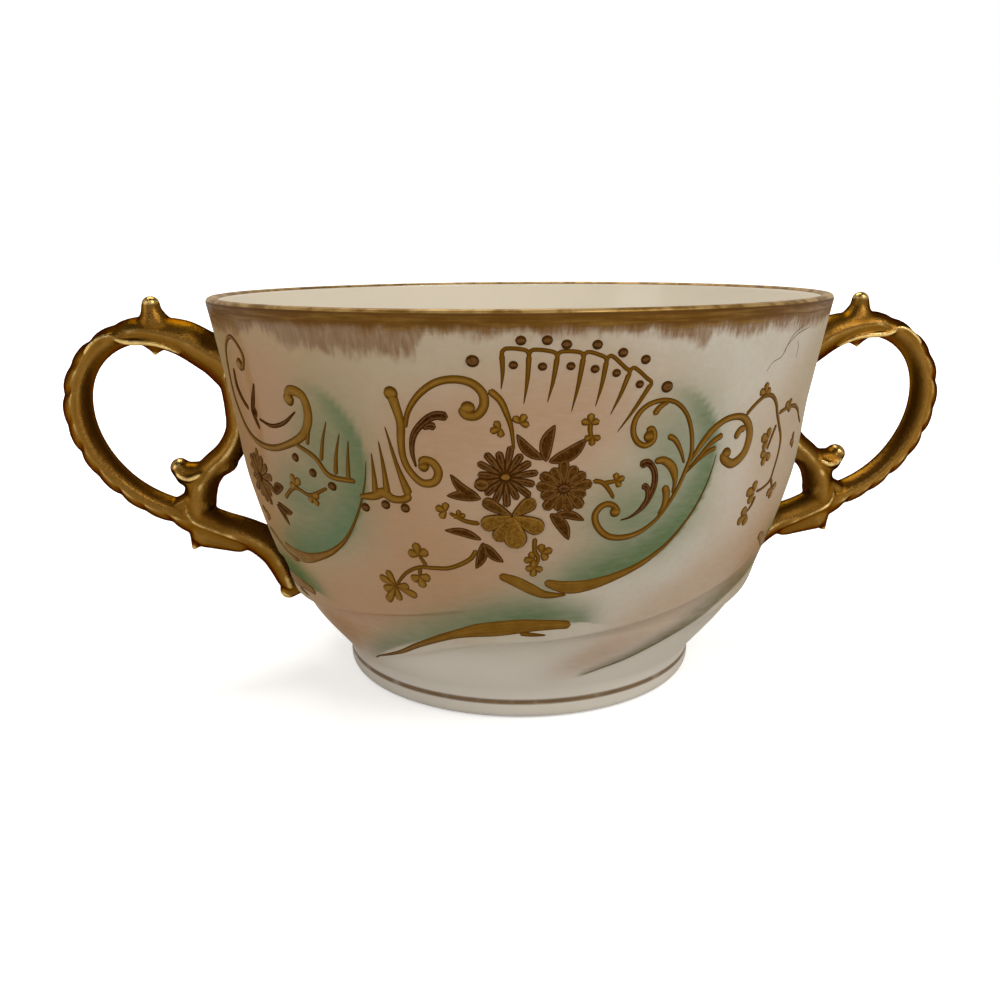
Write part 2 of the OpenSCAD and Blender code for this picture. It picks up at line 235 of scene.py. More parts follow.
class HandleForm:
    """Centre lines of the right handle in its upright plane, in millimetres."""

    def __init__(self, sizes, bowl):
        mm = 1 / MM
        self.bowl = bowl
        self.loop_h = sizes.loop_height * mm
        self.loop_x = float(bowl.radius(self.loop_h)) + sizes.loop_reach * mm
        self.long_half = sizes.loop_long * mm
        self.short_half = sizes.loop_short * mm
        self.lean = sizes.lean
        self.bar = sizes.bar * mm / 2
        self.depth = sizes.depth * mm / 2
        self.stem = sizes.stem * mm / 2
        self.arm = sizes.arm * mm / 2
        self.tip_h = sizes.tip_height * mm
        self.twig = sizes.twig * mm
        self.top = self.loop_at(LOOP_TOP)
        self.low = self.loop_at(LOOP_LOW)
        self.root_h = self.top[1] - 4
        self.root_x = self.wall_at(self.root_h)
        self.knob = (self.top[0] - 2.6, self.top[1] + 0.3)
        self.scroll = (self.low[0] - 4, self.low[1] - 1.2)
        self.stem_low = self.loop_h - 1.2

    def wall_at(self, z):
        """The bowl's radius at a height."""
        return float(self.bowl.radius(z))

    def loop_at(self, degrees):
        """A place on the loop's leaning ellipse."""
        t = math.radians(degrees)
        u = self.long_half * math.cos(t)
        v = self.short_half * math.sin(t)
        c, s = math.cos(self.lean), math.sin(self.lean)
        return self.loop_x + u * c - v * s, self.loop_h + u * s + v * c

    def main_bar(self):
        """Stations round the loop and down the arm: x, z, half width and half depth."""
        hd = self.depth
        kx, kz = self.knob
        sx, sz = self.scroll
        # Thickness of the bar round the loop: degrees, and the share of its size.
        fat = [(LOOP_LOW, 0.97), (-88, 0.93), (-60, 1), (-30, 1.04), (0, 0.93), (22, 0.87),
               (LOOP_TOP, 0.92)]
        rows = [
            (self.root_x - 1.2, self.root_h - 1.5, 4.3, hd * 1.55),
            (self.root_x + 0.7, self.root_h - 0.4, 3.6, hd * 1.42),
            (self.root_x + 2.4, self.root_h + 0.5, 3.1, hd * 1.33),
            (kx - 3.4, kz - 1.5, 2.8, hd * 1.2),
        ]
        for degrees in np.linspace(LOOP_TOP, LOOP_LOW, 16):
            x, z = self.loop_at(degrees)
            rows.append((x, z, self.bar * float(curve(degrees, fat)), hd))
        rows += [
            (sx, sz - 0.5, self.arm + 0.5, hd * 1.15),
            (sx - 3.5, sz - 1.9, self.arm + 0.4, hd * 1.15),
            (self.wall_at(sz - 3) + 4.6, sz - 3.2, self.arm + 0.2, hd * 1.15),
            (self.wall_at(sz - 5) + 1.9, sz - 5.4, self.arm + 0.4, hd * 1.2),
            (self.wall_at(self.tip_h + 5) + 1.5, self.tip_h + 4.6, self.arm + 0.2, hd * 1.15),
            (self.wall_at(self.tip_h + 2) + 2.2, self.tip_h + 1.6, self.arm - 0.3, hd),
            (self.wall_at(self.tip_h) + 3.3, self.tip_h + 0.3, 1.2, 1.6),
        ]
        return rows

    def ribs(self):
        """Soft ridges on the faces: x, z, share of the depth, and half thickness."""
        kx, kz = self.knob
        sx, sz = self.scroll
        cx, cz = sx + 2.8, self.stem_low - 5.3
        crest = ((kx - 3.4, kz - 3.7, 0.78, 0.25), (kx - 1.4, kz - 2.6, 0.93, 0.45),
                 (kx + 1.0, kz - 2.0, 0.95, 0.5), (kx + 3.6, kz - 1.9, 0.95, 0.5),
                 (kx + 5.2, kz - 1.6, 0.93, 0.5), (kx + 6.5, kz - 0.95, 0.85, 0.45),
                 (kx + 8.2, kz - 1.4, 0.86, 0.45), (kx + 10.0, kz - 2.9, 0.88, 0.4),
                 (kx + 11.0, kz - 4.4, 0.7, 0.2))
        wave = ((cx - 4.8, cz - 0.6, 0.6, 0.3), (cx - 3.9, cz - 1.1, 0.88, 0.45),
                (cx - 2.2, cz - 1.7, 0.88, 0.5), (cx - 0.6, cz - 1.2, 0.74, 0.45),
                (cx + 0.2, cz - 0.3, 0.5, 0.25))
        fold = ((sx - 9.4, sz - 5.0, 0.8, 0.25), (sx - 6.0, sz - 3.2, 0.97, 0.45),
                (sx - 2.8, sz - 1.8, 1.02, 0.5), (sx + 0.2, sz - 0.3, 1.02, 0.5),
                (sx + 1.3, sz + 1.4, 0.9, 0.45), (sx + 1.0, sz + 3.2, 0.7, 0.25))
        return crest, wave, fold

    def stem_bar(self):
        """Stations of the stem, from under the top root down to the scroll."""
        hd, sh = self.depth, self.stem
        sx, sz = self.scroll
        foot = self.stem_low
        return [
            (self.wall_at(self.root_h) + 0.3, self.root_h, sh + 0.2, hd * 1.25),
            (self.wall_at(self.loop_h + 7) + 0.2, self.loop_h + 7, sh - 0.2, hd * 1.1),
            (self.wall_at(self.loop_h + 2.5) + 0.2, self.loop_h + 2.5, sh - 0.1, hd * 1.05),
            (self.wall_at(foot) + 0.7, foot, sh, hd),
            (self.wall_at(foot) + 2.4, foot - 3.2, sh, hd),
            (sx - 2.5, foot - 6, sh + 0.1, hd),
            (sx - 0.9, foot - 8.4, sh + 0.4, hd * 1.1),
            (sx, sz + 0.6, sh + 0.5, hd * 1.1),
        ]


# Meshes and strokes

def new_piece(name, vertices, faces, material, values=None):
    """A smooth-shaded mesh object that rides on the cup."""
    mesh = bpy.data.meshes.new(name)
    mesh.from_pydata([tuple(v) for v in vertices], [], [tuple(f) for f in faces])
    mesh.update()
    mesh.polygons.foreach_set("use_smooth", [True] * len(mesh.polygons))
    for key, numbers in (values or {}).items():
        layer = mesh.attributes.new(key, "FLOAT", "POINT")
        layer.data.foreach_set("value", np.asarray(numbers, np.float32))
    mesh.materials.append(material)
    piece = bpy.data.objects.new(name, mesh)
    bpy.context.scene.collection.objects.link(piece)
    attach(piece, "root")
    return piece


def clear_old(name):
    """Clears an earlier run's piece of this name, so that an operator can be used again."""
    old = bpy.data.objects.get(name)
    if old is not None:
        bpy.data.objects.remove(old, do_unlink=True)


class StrokeWork:
    """Raised strokes of paint, drawn on the unrolled bowl and then laid on its surface."""

    def __init__(self, height):
        self.height = height
        self.chart = []
        self.faces = []
        self.edge = []
        self.across = []
        self.tone = []
        self.run = []
        self.count = 0

    def stroke(self, points, halves, tone=1.0, raised=1.0, base=0.0, lanes=7, step=0.3,
               plain=False):
        """One brush stroke: points around and up, half widths along it, round at both ends.

        A plain stroke has no vein or crease along its middle.
        """
        path = through(points, step)
        run = along(path)
        whole = run[-1]
        if np.ndim(halves) == 0:
            halves = (halves, halves)
        stops = np.linspace(0, whole, len(halves))
        half = np.maximum(curve(run, list(zip(stops, halves))), 0.02)
        reach = np.maximum(half, 0.05)
        front = 1 - np.clip(run / reach, 0, 1)
        back = 1 - np.clip((whole - run) / reach, 0, 1)
        half = half * np.sqrt(np.clip(1 - front ** 2, 0.0004, 1))
        half = half * np.sqrt(np.clip(1 - back ** 2, 0.0004, 1))
        side = leftwards(path)
        s = np.linspace(-1, 1, lanes)
        spots = path[:, None, :] + side[:, None, :] * (half[:, None] * s[None, :])[:, :, None]
        # Fine strokes are lower than broad ones, and both edges dip just under the glaze.
        body = np.minimum(half / 0.45, 1)[:, None] * (1 - np.abs(s[None, :]) ** 2.2)
        lift = base + self.height * raised * body - 0.03 * (np.abs(s[None, :]) > 0.99)
        rows = len(path)
        self.chart.append(np.concatenate([spots, lift[:, :, None]], 2).reshape(-1, 3))
        self.edge.append((half[:, None] * (1 - np.abs(s[None, :]))).ravel())
        self.across.append(np.full(rows * lanes, 0.5) if plain else np.tile(s, rows))
        self.tone.append(np.full(rows * lanes, tone))
        self.run.append(np.repeat(run, lanes))
        for r in range(rows - 1):
            for k in range(lanes - 1):
                a = self.count + r * lanes + k
                self.faces.append((a, a + lanes, a + lanes + 1, a + 1))
        self.count += rows * lanes

    def dot(self, centre, radius, tone=1.0, raised=1.0, base=0.0, ring=1.0):
        """A round drop of paint; a ring below 1 makes its dark border broader."""
        x, y = centre
        ends = ((x - radius, y), (x, y), (x + radius, y))
        self.stroke(ends, radius, tone, raised, base, lanes=9, step=radius / 5, plain=True)
        self.edge[-1] = self.edge[-1] * ring

    def petal(self, foot, tip, half, tone, blunt, base=0.0):
        """A petal from its foot to its rounded tip, widest past the middle, without a vein."""
        halves = (half * 0.25, half * 0.7, half, half * blunt)
        middle = (np.array(foot, float) + np.array(tip, float)) / 2
        self.stroke((foot, middle, tip), halves, tone, base=base, lanes=9, step=0.22, plain=True)

    def leaf(self, foot, tip, half, tone, bend):
        """A pointed leaf, widest in the middle, with a vein."""
        a, b = np.array(foot, float), np.array(tip, float)
        way = b - a
        middle = (a + b) / 2 + np.array([-way[1], way[0]]) * bend
        halves = (half * 0.25, half * 0.85, half, half * 0.75, half * 0.15)
        self.stroke((a, middle, b), halves, tone, lanes=11, step=0.22)

    def clover(self, centre, heading, size, tone):
        """Three blunt little leaves at the end of a twig."""
        c = np.array(centre, float)
        for turn, share in ((-72, 0.85), (0, 1.0), (72, 0.9)):
            a = math.radians(heading + turn)
            way = np.array([math.cos(a), math.sin(a)])
            self.petal(c - way * 0.1, c + way * size * share, size * 0.4, tone, blunt=1.0)

    def lay(self, name, bowl, material):
        """Lays the chart on the front of the bowl and again on its back."""
        chart = np.concatenate(self.chart)
        corners, faces, values = [], [], {}
        for n, turn in enumerate((0.0, HALF_TURN)):
            azimuth = np.degrees((chart[:, 0] + turn) / CHART_RADIUS)
            z = np.minimum(chart[:, 1], bowl.height - 0.5)
            radius = bowl.outside(azimuth, z) + chart[:, 2]
            corners.append(bowl.point(azimuth, radius, z))
            shift = n * self.count
            faces += [tuple(i + shift for i in f) for f in self.faces]
        for key, parts in (("edge", self.edge), ("across", self.across),
                           ("tone", self.tone), ("run", self.run)):
            values[key] = np.tile(np.concatenate(parts), len(corners))
        clear_old(name)
        return new_piece(name, np.concatenate(corners), faces, material, values)


# Materials

class Tree:
    """Short calls for wiring a node tree."""

    def __init__(self, tree):
        self.nodes = tree.nodes
        self.links = tree.links
        self.column = 0

    def add(self, kind, **settings):
        node = self.nodes.new(kind)
        self.column += 1
        node.location = (self.column % 12 * 190, -(self.column // 12) * 260)
        for key, value in settings.items():
            setattr(node, key, value)
        return node

    def put(self, socket, value):
        if isinstance(value, bpy.types.NodeSocket):
            self.links.new(value, socket)
        elif value is not None:
            socket.default_value = value

    def math(self, operation, a, b=None, c=None, clamp=False):
        node = self.add("ShaderNodeMath", operation=operation, use_clamp=clamp)
        for socket, value in zip(node.inputs, (a, b, c)):
            self.put(socket, value)
        return node.outputs[0]

    def mix(self, factor, a, b):
        node = self.add("ShaderNodeMix", data_type="RGBA")
        self.put(node.inputs[0], factor)
        self.put(node.inputs[6], a)
        self.put(node.inputs[7], b)
        return node.outputs[2]

    def blend(self, factor, a, b):
        node = self.add("ShaderNodeMix", data_type="FLOAT")
        self.put(node.inputs[0], factor)
        self.put(node.inputs[2], a)
        self.put(node.inputs[3], b)
        return node.outputs[0]

    def step(self, value, low, high, start=0.0, end=1.0):
        node = self.add("ShaderNodeMapRange", interpolation_type="SMOOTHSTEP")
        for key, number in (("Value", value), ("From Min", low), ("From Max", high),
                            ("To Min", start), ("To Max", end)):
            self.put(node.inputs[key], number)
        return node.outputs[0]

    def stripe(self, value, rise, drop):
        """1 between two places and 0 beyond them, eased over the two pairs of ends."""
        return self.math("MULTIPLY", self.step(value, *rise), self.step(value, *drop))

    def noise(self, vector, scale, detail=3.0, rough=0.55):
        node = self.add("ShaderNodeTexNoise")
        self.put(node.inputs["Vector"], vector)
        self.put(node.inputs["Scale"], scale)
        self.put(node.inputs["Detail"], detail)
        self.put(node.inputs["Roughness"], rough)
        return node.outputs[0]

    def stretch(self, vector, factors):
        node = self.add("ShaderNodeVectorMath", operation="MULTIPLY")
        self.put(node.inputs[0], vector)
        self.put(node.inputs[1], factors)
        return node.outputs[0]

    def value(self, name):
        node = self.add("ShaderNodeAttribute", attribute_name=name)
        return node.outputs["Fac"]


def group(name, inputs, outputs, wire):
    """A shader node group, made once, with named sockets; wire() fills it."""
    made = bpy.data.node_groups.get(name)
    if made is not None:
        return made
    made = bpy.data.node_groups.new(name, "ShaderNodeTree")
    kinds = {"value": "NodeSocketFloat", "colour": "NodeSocketColor", "vector": "NodeSocketVector"}
    for label, kind, default in inputs:
        socket = made.interface.new_socket(name=label, in_out="INPUT", socket_type=kinds[kind])
        if default is not None:
            socket.default_value = default
    for label, kind in outputs:
        made.interface.new_socket(name=label, in_out="OUTPUT", socket_type=kinds[kind])
    tree = Tree(made)
    start = tree.add("NodeGroupInput").outputs
    end = tree.add("NodeGroupOutput").inputs
    wire(tree, start, end)
    return made


def place(tree, made, **values):
    """Puts a group in a tree, with its own values, and gives its outputs."""
    node = tree.add("ShaderNodeGroup")
    node.node_tree = made
    for label, value in values.items():
        tree.put(node.inputs[label], value)
    return node.outputs


def glaze_waves():
    """Slow waves and fine pin marks in a fired glaze."""
    def wire(tree, start, end):
        slow = tree.noise(start["Vector"], 0.11, 2.0)
        fine = tree.noise(start["Vector"], 1.3, 3.0)
        tree.put(end["Height"], tree.blend(start["Fine"], slow, fine))
        tree.put(end["Tint"], tree.blend(0.35, slow, fine))
    return group("glaze waves", [("Vector", "vector", None), ("Fine", "value", 0.2)],
                 [("Height", "value"), ("Tint", "value")], wire)


def brush_grain():
    """Streaks that a brush leaves, drawn out by the given stretch."""
    def wire(tree, start, end):
        drawn = tree.stretch(start["Vector"], start["Stretch"])
        streak = tree.noise(drawn, 1.0, 4.0, 0.6)
        patch = tree.noise(start["Vector"], 0.35, 2.0)
        tree.put(end["Streak"], streak)
        tree.put(end["Patch"], patch)
    return group("brush grain", [("Vector", "vector", None), ("Stretch", "vector", (1, 1, 1))],
                 [("Streak", "value"), ("Patch", "value")], wire)


def gold_wear_and_painted_light():
    """Gold colour and roughness: bright on ridges as a painted highlight, brown in hollows as
    painted shade, thin where worn.
    """
    def wire(tree, start, end):
        cloud = tree.noise(start["Vector"], 0.55, 4.0, 0.6)
        speck = tree.noise(start["Vector"], 4.5, 2.0)
        lift = tree.math("ADD", start["Ridge"], tree.math("MULTIPLY_ADD", cloud, 0.5, -0.25))
        # Low ridge values go dark brown as painted shade in hollows; high ones take the bright
        # colour as a painted highlight.
        tone = tree.step(lift, 0.15, 0.9)
        gold = tree.mix(tone, start["Dark"], start["Gold"])
        painted_highlight = tree.step(lift, 0.75, 1.15)
        gold = tree.mix(painted_highlight, gold, start["Bright"])
        pits = tree.step(speck, 0.62, 0.72, 0.0, 0.35)
        tree.put(end["Colour"], tree.mix(pits, gold, start["Dark"]))
        dull = tree.blend(tone, start["Rough"], tree.math("MULTIPLY", start["Rough"], 0.6))
        tree.put(end["Roughness"], tree.math("MULTIPLY_ADD", speck, 0.14, dull))
        tree.put(end["Height"], tree.blend(0.5, cloud, speck))
    sockets = [("Vector", "vector", None), ("Ridge", "value", 0.5),
               ("Dark", "colour", (0.05, 0.02, 0.005, 1)), ("Gold", "colour", (0.3, 0.17, 0.04, 1)),
               ("Bright", "colour", (0.7, 0.5, 0.2, 1)), ("Rough", "value", 0.35)]
    return group("worn gold", sockets,
                 [("Colour", "colour"), ("Roughness", "value"), ("Height", "value")], wire)


def new_material(name):
    """An empty node material with its shader and output."""
    material = bpy.data.materials.get(name) or bpy.data.materials.new(name)
    material.use_nodes = True
    material.node_tree.nodes.clear()
    tree = Tree(material.node_tree)
    shader = tree.add("ShaderNodeBsdfPrincipled")
    output = tree.add("ShaderNodeOutputMaterial")
    tree.links.new(shader.outputs[0], output.inputs["Surface"])
    return material, tree, shader


def in_millimetres(tree):
    """Object coordinates in millimetres, and the height among them."""
    place_node = tree.add("ShaderNodeTexCoord")
    scaled = tree.stretch(place_node.outputs["Object"], (1000, 1000, 1000))
    parts = tree.add("ShaderNodeSeparateXYZ")
    tree.links.new(scaled, parts.inputs[0])
    return scaled, parts.outputs[2]


def bump(tree, shader, height, distance, strength):
    """Gives a shader a fine bump; the distance is in metres."""
    node = tree.add("ShaderNodeBump")
    node.inputs["Distance"].default_value = distance
    node.inputs["Strength"].default_value = strength
    tree.put(node.inputs["Height"], height)
    tree.links.new(node.outputs[0], shader.inputs["Normal"])


def painted_porcelain(paint):
    """Glazed porcelain with soft washes, a sponged gold rim, a gold line round the foot and a
    painted contact shadow under it.
    """
    material, tree, shader = new_material("painted porcelain")
    here, height = in_millimetres(tree)
    waves = place(tree, glaze_waves(), Vector=here, Fine=0.25)
    grain = place(tree, brush_grain(), Vector=here, Stretch=(0.5, 0.5, 1.6))
    level = place(tree, brush_grain(), Vector=here, Stretch=(0.11, 0.11, 1.9))
    hatch = place(tree, brush_grain(), Vector=here, Stretch=(1.8, 1.8, 0.22))

    outside = tree.value("outside")
    pooled = tree.step(waves["Tint"], 0.3, 0.7)
    glaze = tree.mix(pooled, tuple(paint.glaze), tuple(paint.glaze_warm))
    # Paler towards the foot, over heights in millimetres: painted light on the lower side.
    glaze = tree.mix(tree.step(height, 20, 6, 0.0, 0.9), glaze, tuple(paint.painted_light_at_foot))
    # The inside takes a lighter colour than the outside glaze, whose darker colour is painted
    # shade.
    colour = tree.mix(outside, tuple(paint.inside), glaze)
    for name, ragged in (("tan", 0.3), ("pink", 0.5), ("green", 0.35), ("olive", 0.5)):
        broken = tree.math("MULTIPLY_ADD", grain["Streak"], ragged, 1 - 0.5 * ragged)
        cover = tree.math("MULTIPLY", tree.value(name + "_wash"), broken, clamp=True)
        colour = tree.mix(cover, colour, tuple(getattr(paint, name)))

    # The sponged band: solid gold under the lip, thinning to a reddish brushed fringe.
    wander = tree.math("MULTIPLY_ADD", hatch["Patch"], 2.4, -1.2)
    streaks = tree.math("MULTIPLY_ADD", hatch["Streak"], 2.0, -1.0)
    ragged = tree.math("ADD", tree.value("above_fringe"), tree.math("ADD", wander, streaks))
    thin = tree.step(hatch["Streak"], 0.25, 0.65, 0.65, 1.0)
    fringe = tree.math("MULTIPLY", tree.step(ragged, -0.6, 1.1), thin)
    fringe = tree.math("MULTIPLY", fringe, outside)
    colour = tree.mix(fringe, colour, tuple(paint.fringe))
    drift = tree.math("MULTIPLY_ADD", level["Streak"], 1.2, -0.6)
    uneven = tree.math("MULTIPLY_ADD", streaks, 0.25, tree.math("MULTIPLY", wander, 0.5))
    band_low = tree.math("ADD", height, tree.math("ADD", drift, uneven))
    band = tree.math("MULTIPLY", tree.step(band_low, *RIM_BAND), outside)
    lip = tree.step(height, *LIP_GOLD)
    seam = tree.stripe(height, *LIP_SEAM)
    foot_line = tree.stripe(height, *FOOT_LINE)
    # A thin dark line at the very base, where the foot meets the floor: a painted contact shadow.
    contact_shadow = tree.step(tree.math("MULTIPLY_ADD", streaks, 0.1, height), 0.4, 0.1)
    lines = tree.math("MULTIPLY", foot_line, tree.step(level["Patch"], 0.25, 0.5, 0.7, 0.9))
    # The gold is lighter along the lip: a painted highlight on its rounded edge.
    ridge = tree.blend(lip, tree.step(level["Streak"], 0.3, 0.75, 0.1, 0.8),
                       tree.step(level["Patch"], 0.3, 0.7, 0.8, 1.15))
    gold = place(tree, gold_wear_and_painted_light(), Vector=here, Ridge=ridge,
                 Dark=tuple(paint.rim_dark), Gold=tuple(paint.rim_gold),
                 Bright=tuple(paint.rim_bright), Rough=0.42)
    cover = tree.math("MAXIMUM", tree.math("MAXIMUM", band, lip), lines)
    colour = tree.mix(cover, colour, gold["Colour"])
    under = tree.math("MAXIMUM", tree.math("MULTIPLY", contact_shadow, 0.6),
                      tree.math("MULTIPLY", seam, 0.7))
    colour = tree.mix(tree.math("MULTIPLY", under, outside), colour, tuple(paint.foot_line))

    tree.put(shader.inputs["Base Color"], colour)
    tree.put(shader.inputs["Metallic"], tree.math("MULTIPLY", cover, 0.4))
    bare = tree.math("MULTIPLY", tree.step(height, 0.2, 0.05), 0.5)
    glossy = tree.blend(cover, tree.math("MULTIPLY_ADD", waves["Tint"], 0.08, 0.1),
                        gold["Roughness"])
    tree.put(shader.inputs["Roughness"], tree.math("ADD", glossy, bare))
    # The gloss is a coat that fades towards the edge of sight, where it would only show white.
    edge_on = tree.add("ShaderNodeLayerWeight").outputs["Facing"]
    gloss = tree.math("MULTIPLY_ADD", cover, -0.9, 1.0)
    gloss = tree.math("MULTIPLY", gloss, tree.step(edge_on, 0.35, 0.8, 0.45, 0.0))
    tree.put(shader.inputs["Coat Weight"], gloss)
    shader.inputs["Coat Roughness"].default_value = 0.1
    shader.inputs["Specular IOR Level"].default_value = 0.0
    bump(tree, shader, waves["Height"], 0.00012, 0.35)
    return material


def gilt(paint):
    """Gilding of the handles: bright ridges as painted highlights, brown hollows as painted shade,
    slightly uneven.
    """
    material, tree, shader = new_material("gilt handles")
    here = in_millimetres(tree)[0]
    gold = place(tree, gold_wear_and_painted_light(), Vector=here, Ridge=tree.value("ridge"),
                 Dark=tuple(paint.gilt_shade_and_wear), Gold=tuple(paint.gilt_gold),
                 Bright=tuple(paint.gilt_painted_highlight), Rough=0.26)
    waves = place(tree, glaze_waves(), Vector=here, Fine=0.5)
    tree.put(shader.inputs["Base Color"], gold["Colour"])
    tree.put(shader.inputs["Roughness"], gold["Roughness"])
    shader.inputs["Metallic"].default_value = 1.0
    # Seen edge-on, the gold stays gold and doesn't turn to the white of the room.
    shader.inputs["Specular Tint"].default_value = tuple(paint.gilt_edge)
    bump(tree, shader, tree.blend(0.5, waves["Height"], gold["Height"]), 0.00035, 0.5)
    return material


def raised_gold(paint):
    """Matt raised gold of the scrolls: brown edges, a painted highlight along the middle of each
    stroke, and fine lines the way the brush went.
    """
    material, tree, shader = new_material("raised gold")
    here, height = in_millimetres(tree)
    edge = tree.value("edge")
    across = tree.value("across")
    drawn = tree.add("ShaderNodeCombineXYZ")
    tree.put(drawn.inputs[0], tree.math("MULTIPLY", tree.value("run"), 0.28))
    tree.put(drawn.inputs[1], tree.math("MULTIPLY", across, 2.2))
    tree.put(drawn.inputs[2], tree.math("MULTIPLY", height, 0.2))
    grain = place(tree, brush_grain(), Vector=drawn.outputs[0], Stretch=(1, 1, 1))
    # Lighter towards a stroke's middle: a painted highlight along its crown; darker towards its
    # brown edges.
    body = tree.math("MULTIPLY_ADD", grain["Streak"], 0.6, tree.step(edge, 0.05, 0.42, -0.3, 0.4))
    middle = tree.math("ABSOLUTE", across)
    crease = tree.stripe(middle, (0.24, 0.34), (0.5, 0.4))
    crease = tree.math("MULTIPLY", crease, tree.step(grain["Streak"], 0.4, 0.6))
    ridge = tree.math("MULTIPLY", tree.math("MULTIPLY_ADD", crease, -0.3, body), tree.value("tone"))
    gold = place(tree, gold_wear_and_painted_light(), Vector=here, Ridge=ridge,
                 Dark=tuple(paint.paste_dark), Gold=tuple(paint.paste_gold),
                 Bright=tuple(paint.paste_burnish_and_highlight), Rough=0.5)
    outline = tree.step(edge, 0.17, 0.02)
    tree.put(shader.inputs["Base Color"], tree.mix(outline, gold["Colour"], tuple(paint.outline)))
    tree.put(shader.inputs["Roughness"], gold["Roughness"])
    tree.put(shader.inputs["Metallic"], tree.math("MULTIPLY_ADD", outline, -0.3, 0.3))
    shader.inputs["Specular IOR Level"].default_value = 0.0
    bump(tree, shader, grain["Streak"], 0.0001, 0.4)
    return material


def brown_enamel(paint):
    """Dark red-brown enamel with a paler vein and a fine dark outline."""
    material, tree, shader = new_material("brown enamel")
    here = in_millimetres(tree)[0]
    edge = tree.value("edge")
    tone = tree.value("tone")
    across = tree.math("ABSOLUTE", tree.value("across"))
    grain = place(tree, brush_grain(), Vector=here, Stretch=(2.5, 2.5, 2.5))
    body = tree.mix(tree.step(grain["Streak"], 0.35, 0.7), tuple(paint.enamel),
                    tuple(paint.enamel_light))
    gold = tree.mix(tree.step(grain["Streak"], 0.3, 0.7), tuple(paint.paste_dark),
                    tuple(paint.paste_gold))
    body = tree.mix(tone, body, gold)
    pale = tree.stripe(edge, (0.15, 0.22), (0.42, 0.3))
    pale = tree.math("MULTIPLY", pale, tree.step(grain["Streak"], 0.3, 0.5, 0.4, 0.95))
    body = tree.mix(pale, body, tree.mix(tone, tuple(paint.enamel_vein), tuple(paint.paste_gold)))
    vein = tree.math("MULTIPLY", tree.step(across, 0.22, 0.06),
                     tree.step(edge, 0.3, 0.42, 0.3, 0.9))
    body = tree.mix(vein, body, tuple(paint.outline))
    outline = tree.step(edge, 0.17, 0.09)
    tree.put(shader.inputs["Base Color"], tree.mix(outline, body, tuple(paint.outline)))
    tree.put(shader.inputs["Metallic"], tree.math("MULTIPLY", tone, 0.4))
    tree.put(shader.inputs["Roughness"], tree.math("MULTIPLY_ADD", grain["Streak"], 0.25, 0.3))
    shader.inputs["Specular IOR Level"].default_value = 0.0
    bump(tree, shader, grain["Streak"], 0.0001, 0.4)
    return material


# Washes of colour, some also painting shade: places are millimetres around from the front and up,
# on the unrolled bowl

# Outer edge of the green crescent in the middle panel.
CRESCENT = ((12.8, 49.6), (16.4, 48.0), (18.8, 45.6), (20.2, 42.8), (20.7, 39.8), (20.2, 36.6),
            (18.7, 33.2), (16.2, 29.8), (12.4, 26.8), (8.0, 25.0), (3.6, 24.0), (-1.0, 23.6))
# Low sweep along the shoulder of a fold, from its thin tail to its blunt head.
LOW_SWEEP = ((-38.8, 6.9), (-35.0, 8.7), (-30.0, 11.0), (-25.0, 13.2), (-20.0, 15.1), (-15.0, 16.8),
             (-11.0, 17.9), (-7.0, 18.8), (-3.0, 19.2), (0.5, 19.1), (3.4, 18.6))
# Gold along the crescent's lower edge, the blob beside its end, and the gold of the low sweep.
SWOOSH = ((20.9, 40.5), (20.3, 37.5), (19.0, 34.2), (17.3, 31.4), (14.9, 28.7), (11.8, 26.6),
          (8.4, 25.2), (4.6, 24.2), (1.2, 24.1), (-1.7, 25.0))
SWOOSH_BLOB = ((-7.7, 26.0), (-5.6, 25.2), (-3.6, 24.1), (-1.6, 23.1), (1.5, 22.9))
SWEEP_GOLD = ((-38.7, 6.8), (-36.0, 7.9), (-31.0, 9.6), (-26.5, 11.3), (-21.6, 13.7),
              (-16.7, 15.75), (-12.0, 17.1), (-8.4, 17.65), (-4.0, 18.2), (0.0, 18.3), (2.6, 18.2))
# The same line two folds on, where it has no gold: a thin dark line along it is painted shade in
# the fold's crease, and the olive wash above it is partly painted shade under the fold.
FOLD_EDGE = ((7.6, 7.7), (11.0, 8.8), (15.0, 9.9), (20.0, 12.0), (25.0, 14.1), (30.0, 15.9),
             (35.0, 17.4), (40.0, 18.5), (45.0, 19.4), (50.0, 20.2))
# Soft pink patches: around, up, half length, half height, slope in degrees, strength.
PINK_PATCHES = (
    (0.5, 46.8, 12.0, 8.5, 0, 0.75), (-13.5, 43.5, 8.0, 7.0, 0, 0.75),
    (-19.5, 32.0, 7.5, 12.0, 20, 0.8), (-5.0, 33.0, 14.0, 9.0, 15, 0.55),
    (-29.0, 19.5, 22.0, 7.0, 27, 0.85), (-42.0, 11.5, 11.0, 4.0, 20, 0.6),
    (-12.0, 24.5, 12.0, 4.5, 15, 0.6), (22.0, 20.5, 18.0, 5.5, 27, 0.5),
    (8.0, 11.5, 8.0, 3.0, 20, 0.45), (36.0, 36.0, 12.0, 15.0, 10, 0.42),
    (40.0, 24.0, 10.0, 5.0, 25, 0.65), (-42.0, 47.0, 11.0, 9.0, 0, 0.9),
    (-49.0, 38.0, 10.0, 9.0, 0, 0.85), (-38.0, 37.0, 8.0, 6.0, 0, 0.4),
    (-48.0, 28.0, 10.0, 5.0, 0, 0.5),
)
